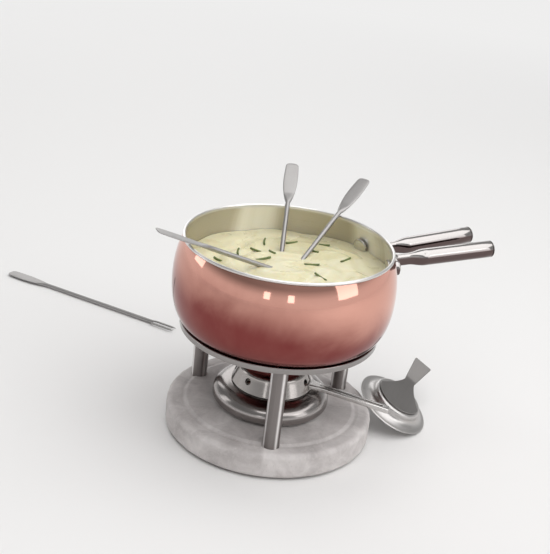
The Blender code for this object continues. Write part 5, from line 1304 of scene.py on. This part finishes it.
def shaft_grid():
    """The rod and leaf along X: superellipse sections whose half width swells by a sine power to the leaf's
    widest point and falls away by a square, while the thickness eases from round to flat."""
    start = FORK_LENGTH - FORK_PADDLE_LENGTH
    last = FORK_LENGTH - FORK_END_ROUND
    root = FORK_TINE[1] + FORK_TINE[2] - FORK_TINE[0]
    along = np.concatenate([root + FORK_ROOT_ROWS, np.linspace(root + FORK_SHAFT_ROWS, start, 12),
                            np.linspace(start, last, 46)[1:],
                            last + FORK_END_ROUND * np.sin(np.linspace(0.0, math.pi / 2.0, 8))[1:]])
    past = np.clip(along - start, 0.0, None)
    swell = np.sin(math.pi / 2.0 * np.clip(past / FORK_PADDLE_WIDEST, 0.0, 1.0)) ** FORK_PADDLE_POWER
    beyond = np.clip((past - FORK_PADDLE_WIDEST) / (FORK_PADDLE_LENGTH - FORK_PADDLE_WIDEST), 0.0, 1.0)
    spread = swell - (1.0 - FORK_PADDLE_END) * beyond ** 2
    flat = ease(past / FORK_PADDLE_NECK)
    wide = (FORK_SHAFT_RADIUS + (FORK_PADDLE_HALF[0] - FORK_SHAFT_RADIUS) * spread
            - end_fall(along, FORK_LENGTH, FORK_END_ROUND))
    thick = FORK_SHAFT_RADIUS + (FORK_PADDLE_HALF[1] - FORK_SHAFT_RADIUS) * flat
    tip = np.clip(along - last, 0.0, FORK_END_ROUND) / FORK_END_ROUND
    thick = thick * np.sqrt(1.0 - FORK_END_THIN * tip ** 4)
    still = np.zeros_like(along)
    return capped(swept(np.stack([along, still, still], axis=-1), still, still, still, wide, thick,
                        2.0 + FORK_PADDLE_SQUARENESS * flat, 40))


def tine_grid():
    """Both tines as one bent wire: up one tine, round a half circle and down the other, a circle carried
    along that path and drawn to a point at both ends."""
    radius, length, half_gap, point = FORK_TINE
    taper = np.linspace(0.0, point, 5)
    straight = np.append(taper, length * FORK_TINE_MIDDLE)
    bend = np.linspace(-math.pi / 2.0, math.pi / 2.0, 18)
    x = np.concatenate([straight, length + half_gap * np.cos(bend), straight[::-1]])
    y = np.concatenate([np.full(6, -half_gap), half_gap * np.sin(bend), np.full(6, half_gap)])
    heading = np.concatenate([np.zeros(6), bend + math.pi / 2.0, np.full(6, math.pi)])
    sharp = FORK_TINE_POINT + (1.0 - FORK_TINE_POINT) * np.sin(taper / point * math.pi / 2.0)
    size = radius * np.concatenate([sharp, np.ones(20), sharp[::-1]])
    still = np.zeros_like(x)
    return capped(swept(np.stack([x, y, still], axis=-1), heading, still, still, size, size, still + 2.0, 16))


def fork_axes(along):
    """Axes with X along the fork and Z as upright as that allows."""
    x = np.asarray(along, float) / np.linalg.norm(along)
    y = np.cross([0.0, 0.0, 1.0], x)
    y /= np.linalg.norm(y)
    return np.stack([x, y, np.cross(x, y)], axis=1)


for which, (fork_tip, fork_along) in FORKS.items():
    heading = math.atan2(fork_along[1], fork_along[0])
    fork_steel = brushed_steel(f"satin_fork_steel_{which}", tone=(0.41, 0.397, 0.39), rough=(0.32, 0.44),
                               stretch=(20.0, 1700.0, 1700.0), turn=(0.0, 0.0, -heading))
    axes = fork_axes(fork_along)
    fork = skinned(f"table_fork_{which}", [moved(shaft_grid(), axes, fork_tip)])
    fork = worked(fork, [skinned("tines", [moved(tine_grid(), axes, fork_tip)])], 'UNION')
    fitted(fork, fork_steel, f"{which}_fork", "satin_steel", f"fork_{which}")

# Studio: a plain pale floor that fades into the backdrop, a soft overhead light, three screens at the sides
# and behind, two small windows in front, and the camera at the photograph's angle.
FLOOR_RINGS = (0.0, 0.5, 1.5, 4.0, 9.0)
FLOOR_HEIGHT = -0.0004
FLOOR_FADE = (0.7, 2.6)
FLOOR_TONE = (0.82, 0.812, 0.805, 1.0)
BACKDROP_TONE = (0.86, 0.856, 0.852, 1.0)
SKY_STOPS = ((0.0, 0.86), (0.10, 0.80), (0.30, 0.36), (0.70, 0.38), (1.0, 0.60))
SKY_LEFT_DIM = 0.30
SKY_LEFT_RUN = (-0.65, 0.10)
SKY_LIFT_RUN = (0.06, 0.26)
LIGHT_AIM = np.array([0.0, 0.0, 0.1])
SOFT_BOXES = {"overhead": ((0.60, -0.40, 2.1), (3.3, 3.3), 51.0),
              "right_screen": ((1.85, -0.98, 0.80), (0.90, 1.20), 4.6),
              "left_screen": ((-2.00, 0.43, 0.80), (0.60, 1.10), 2.8),
              "back_screen": ((-0.50, 2.30, 1.15), (2.4, 1.1), 11.0),
              "left_window": ((-0.68, -1.97, 0.40), (0.22, 0.32), 0.36),
              "right_window": ((0.15, -2.08, 0.38), (0.22, 0.32), 0.36)}
PICTURE_WIDTH = 550.0
CAMERA_FOCAL = 1079.6
CAMERA_AZIMUTH = math.radians(3.83)
CAMERA_ELEVATION = math.radians(22.93)
CAMERA_ROLL = math.radians(7.0)
CAMERA_DISTANCE = 1.107
CAMERA_TARGET = np.array([-0.0006, 0.1236, 0.0995])

floor = skinned("floor", [turned([(reach, FLOOR_HEIGHT) for reach in FLOOR_RINGS], 64)])
floor_paint = new_finish("pale_floor", Roughness=0.75, Specular_IOR_Level=0.15, Base_Color=FLOOR_TONE)
floor_nodes = floor_paint.node_tree.nodes
ray = add(floor_paint, "LightPath", {})
seen = reckoned(floor_paint, 'MAXIMUM', ray["Is Camera Ray"], ray["Is Glossy Ray"])
seen = reckoned(floor_paint, 'MAXIMUM', seen, ray["Is Transmission Ray"])
floor_way = vector(floor_paint, 'LENGTH', spot_on(floor_paint))["Value"]
floor_fade = between(floor_paint, floor_way, 0.0, 1.0, *FLOOR_FADE, 'SMOOTHSTEP')
floor_fade = reckoned(floor_paint, 'MULTIPLY', floor_fade, seen)
floor_glow = add(floor_paint, "Emission", {"Color": BACKDROP_TONE})[0]
floor_mix = add(floor_paint, "MixShader", {0: floor_fade, 1: floor_nodes["Principled BSDF"].outputs[0],
                                           2: floor_glow})[0]
floor_paint.node_tree.links.new(floor_mix, floor_nodes["Material Output"].inputs["Surface"])
floor.data.materials.append(floor_paint)

sky = bpy.data.worlds.new("studio")
bpy.context.scene.world = sky
sky.use_nodes = True
sky_part = add(sky, "SeparateXYZ", {0: add(sky, "TexCoord", {})["Generated"]})
sky_tone = add(sky, "ValToRGB", {0: sky_part[2]})
sky_ramp = sky_tone[0].node.color_ramp
while len(sky_ramp.elements) < len(SKY_STOPS):
    sky_ramp.elements.new(0.5)
for stop, (height, grey) in zip(sky_ramp.elements, SKY_STOPS):
    stop.position = height
    stop.color = (grey, grey, grey, 1.0)
sky_dim = between(sky, sky_part[0], SKY_LEFT_DIM, 0.0, *SKY_LEFT_RUN)
sky_lift = between(sky, sky_part[2], 0.0, 1.0, *SKY_LIFT_RUN)
sky_kept = reckoned(sky, 'SUBTRACT', 1.0, reckoned(sky, 'MULTIPLY', sky_dim, sky_lift))
sky_light = add(sky, "VectorMath", {0: sky_tone["Color"], "Scale": sky_kept}, operation='SCALE')[0]
sky.node_tree.links.new(sky_light, sky.node_tree.nodes["Background"].inputs["Color"])


def placed(made, axes, place):
    """Put a light or a camera at a place, with the columns of the axes as its own X, Y and Z."""
    made.matrix_world = Matrix([[*axes[i], place[i]] for i in range(3)] + [[0.0, 0.0, 0.0, 1.0]])
    bpy.context.scene.collection.objects.link(made)


def soft_box(name, place, size, power):
    """A rectangular area light at a place, turned to face the set."""
    lamp = bpy.data.lights.new(name, 'AREA')
    lamp.shape = 'RECTANGLE'
    lamp.size, lamp.size_y = size
    lamp.energy = power
    made = bpy.data.objects.new(name, lamp)
    made.visible_camera = False
    placed(made, facing(place - LIGHT_AIM), place)


for name, light in SOFT_BOXES.items():
    soft_box(name, *light)

forward = np.array([math.sin(CAMERA_AZIMUTH) * math.cos(CAMERA_ELEVATION),
                    math.cos(CAMERA_AZIMUTH) * math.cos(CAMERA_ELEVATION), -math.sin(CAMERA_ELEVATION)])
right = np.array([math.cos(CAMERA_AZIMUTH), -math.sin(CAMERA_AZIMUTH), 0.0])
up = np.cross(right, forward)
rolled_right = right * math.cos(CAMERA_ROLL) + up * math.sin(CAMERA_ROLL)
rolled_up = up * math.cos(CAMERA_ROLL) - right * math.sin(CAMERA_ROLL)
lens = bpy.data.cameras.new("camera")
lens.sensor_fit = 'HORIZONTAL'
lens.lens = lens.sensor_width * CAMERA_FOCAL / PICTURE_WIDTH
camera = bpy.data.objects.new("camera", lens)
camera_axes = np.stack([rolled_right, rolled_up, -forward], axis=1)
placed(camera, camera_axes, CAMERA_TARGET - forward * CAMERA_DISTANCE)
bpy.context.scene.camera = camera
bpy.context.scene.view_settings.view_transform = 'Standard'
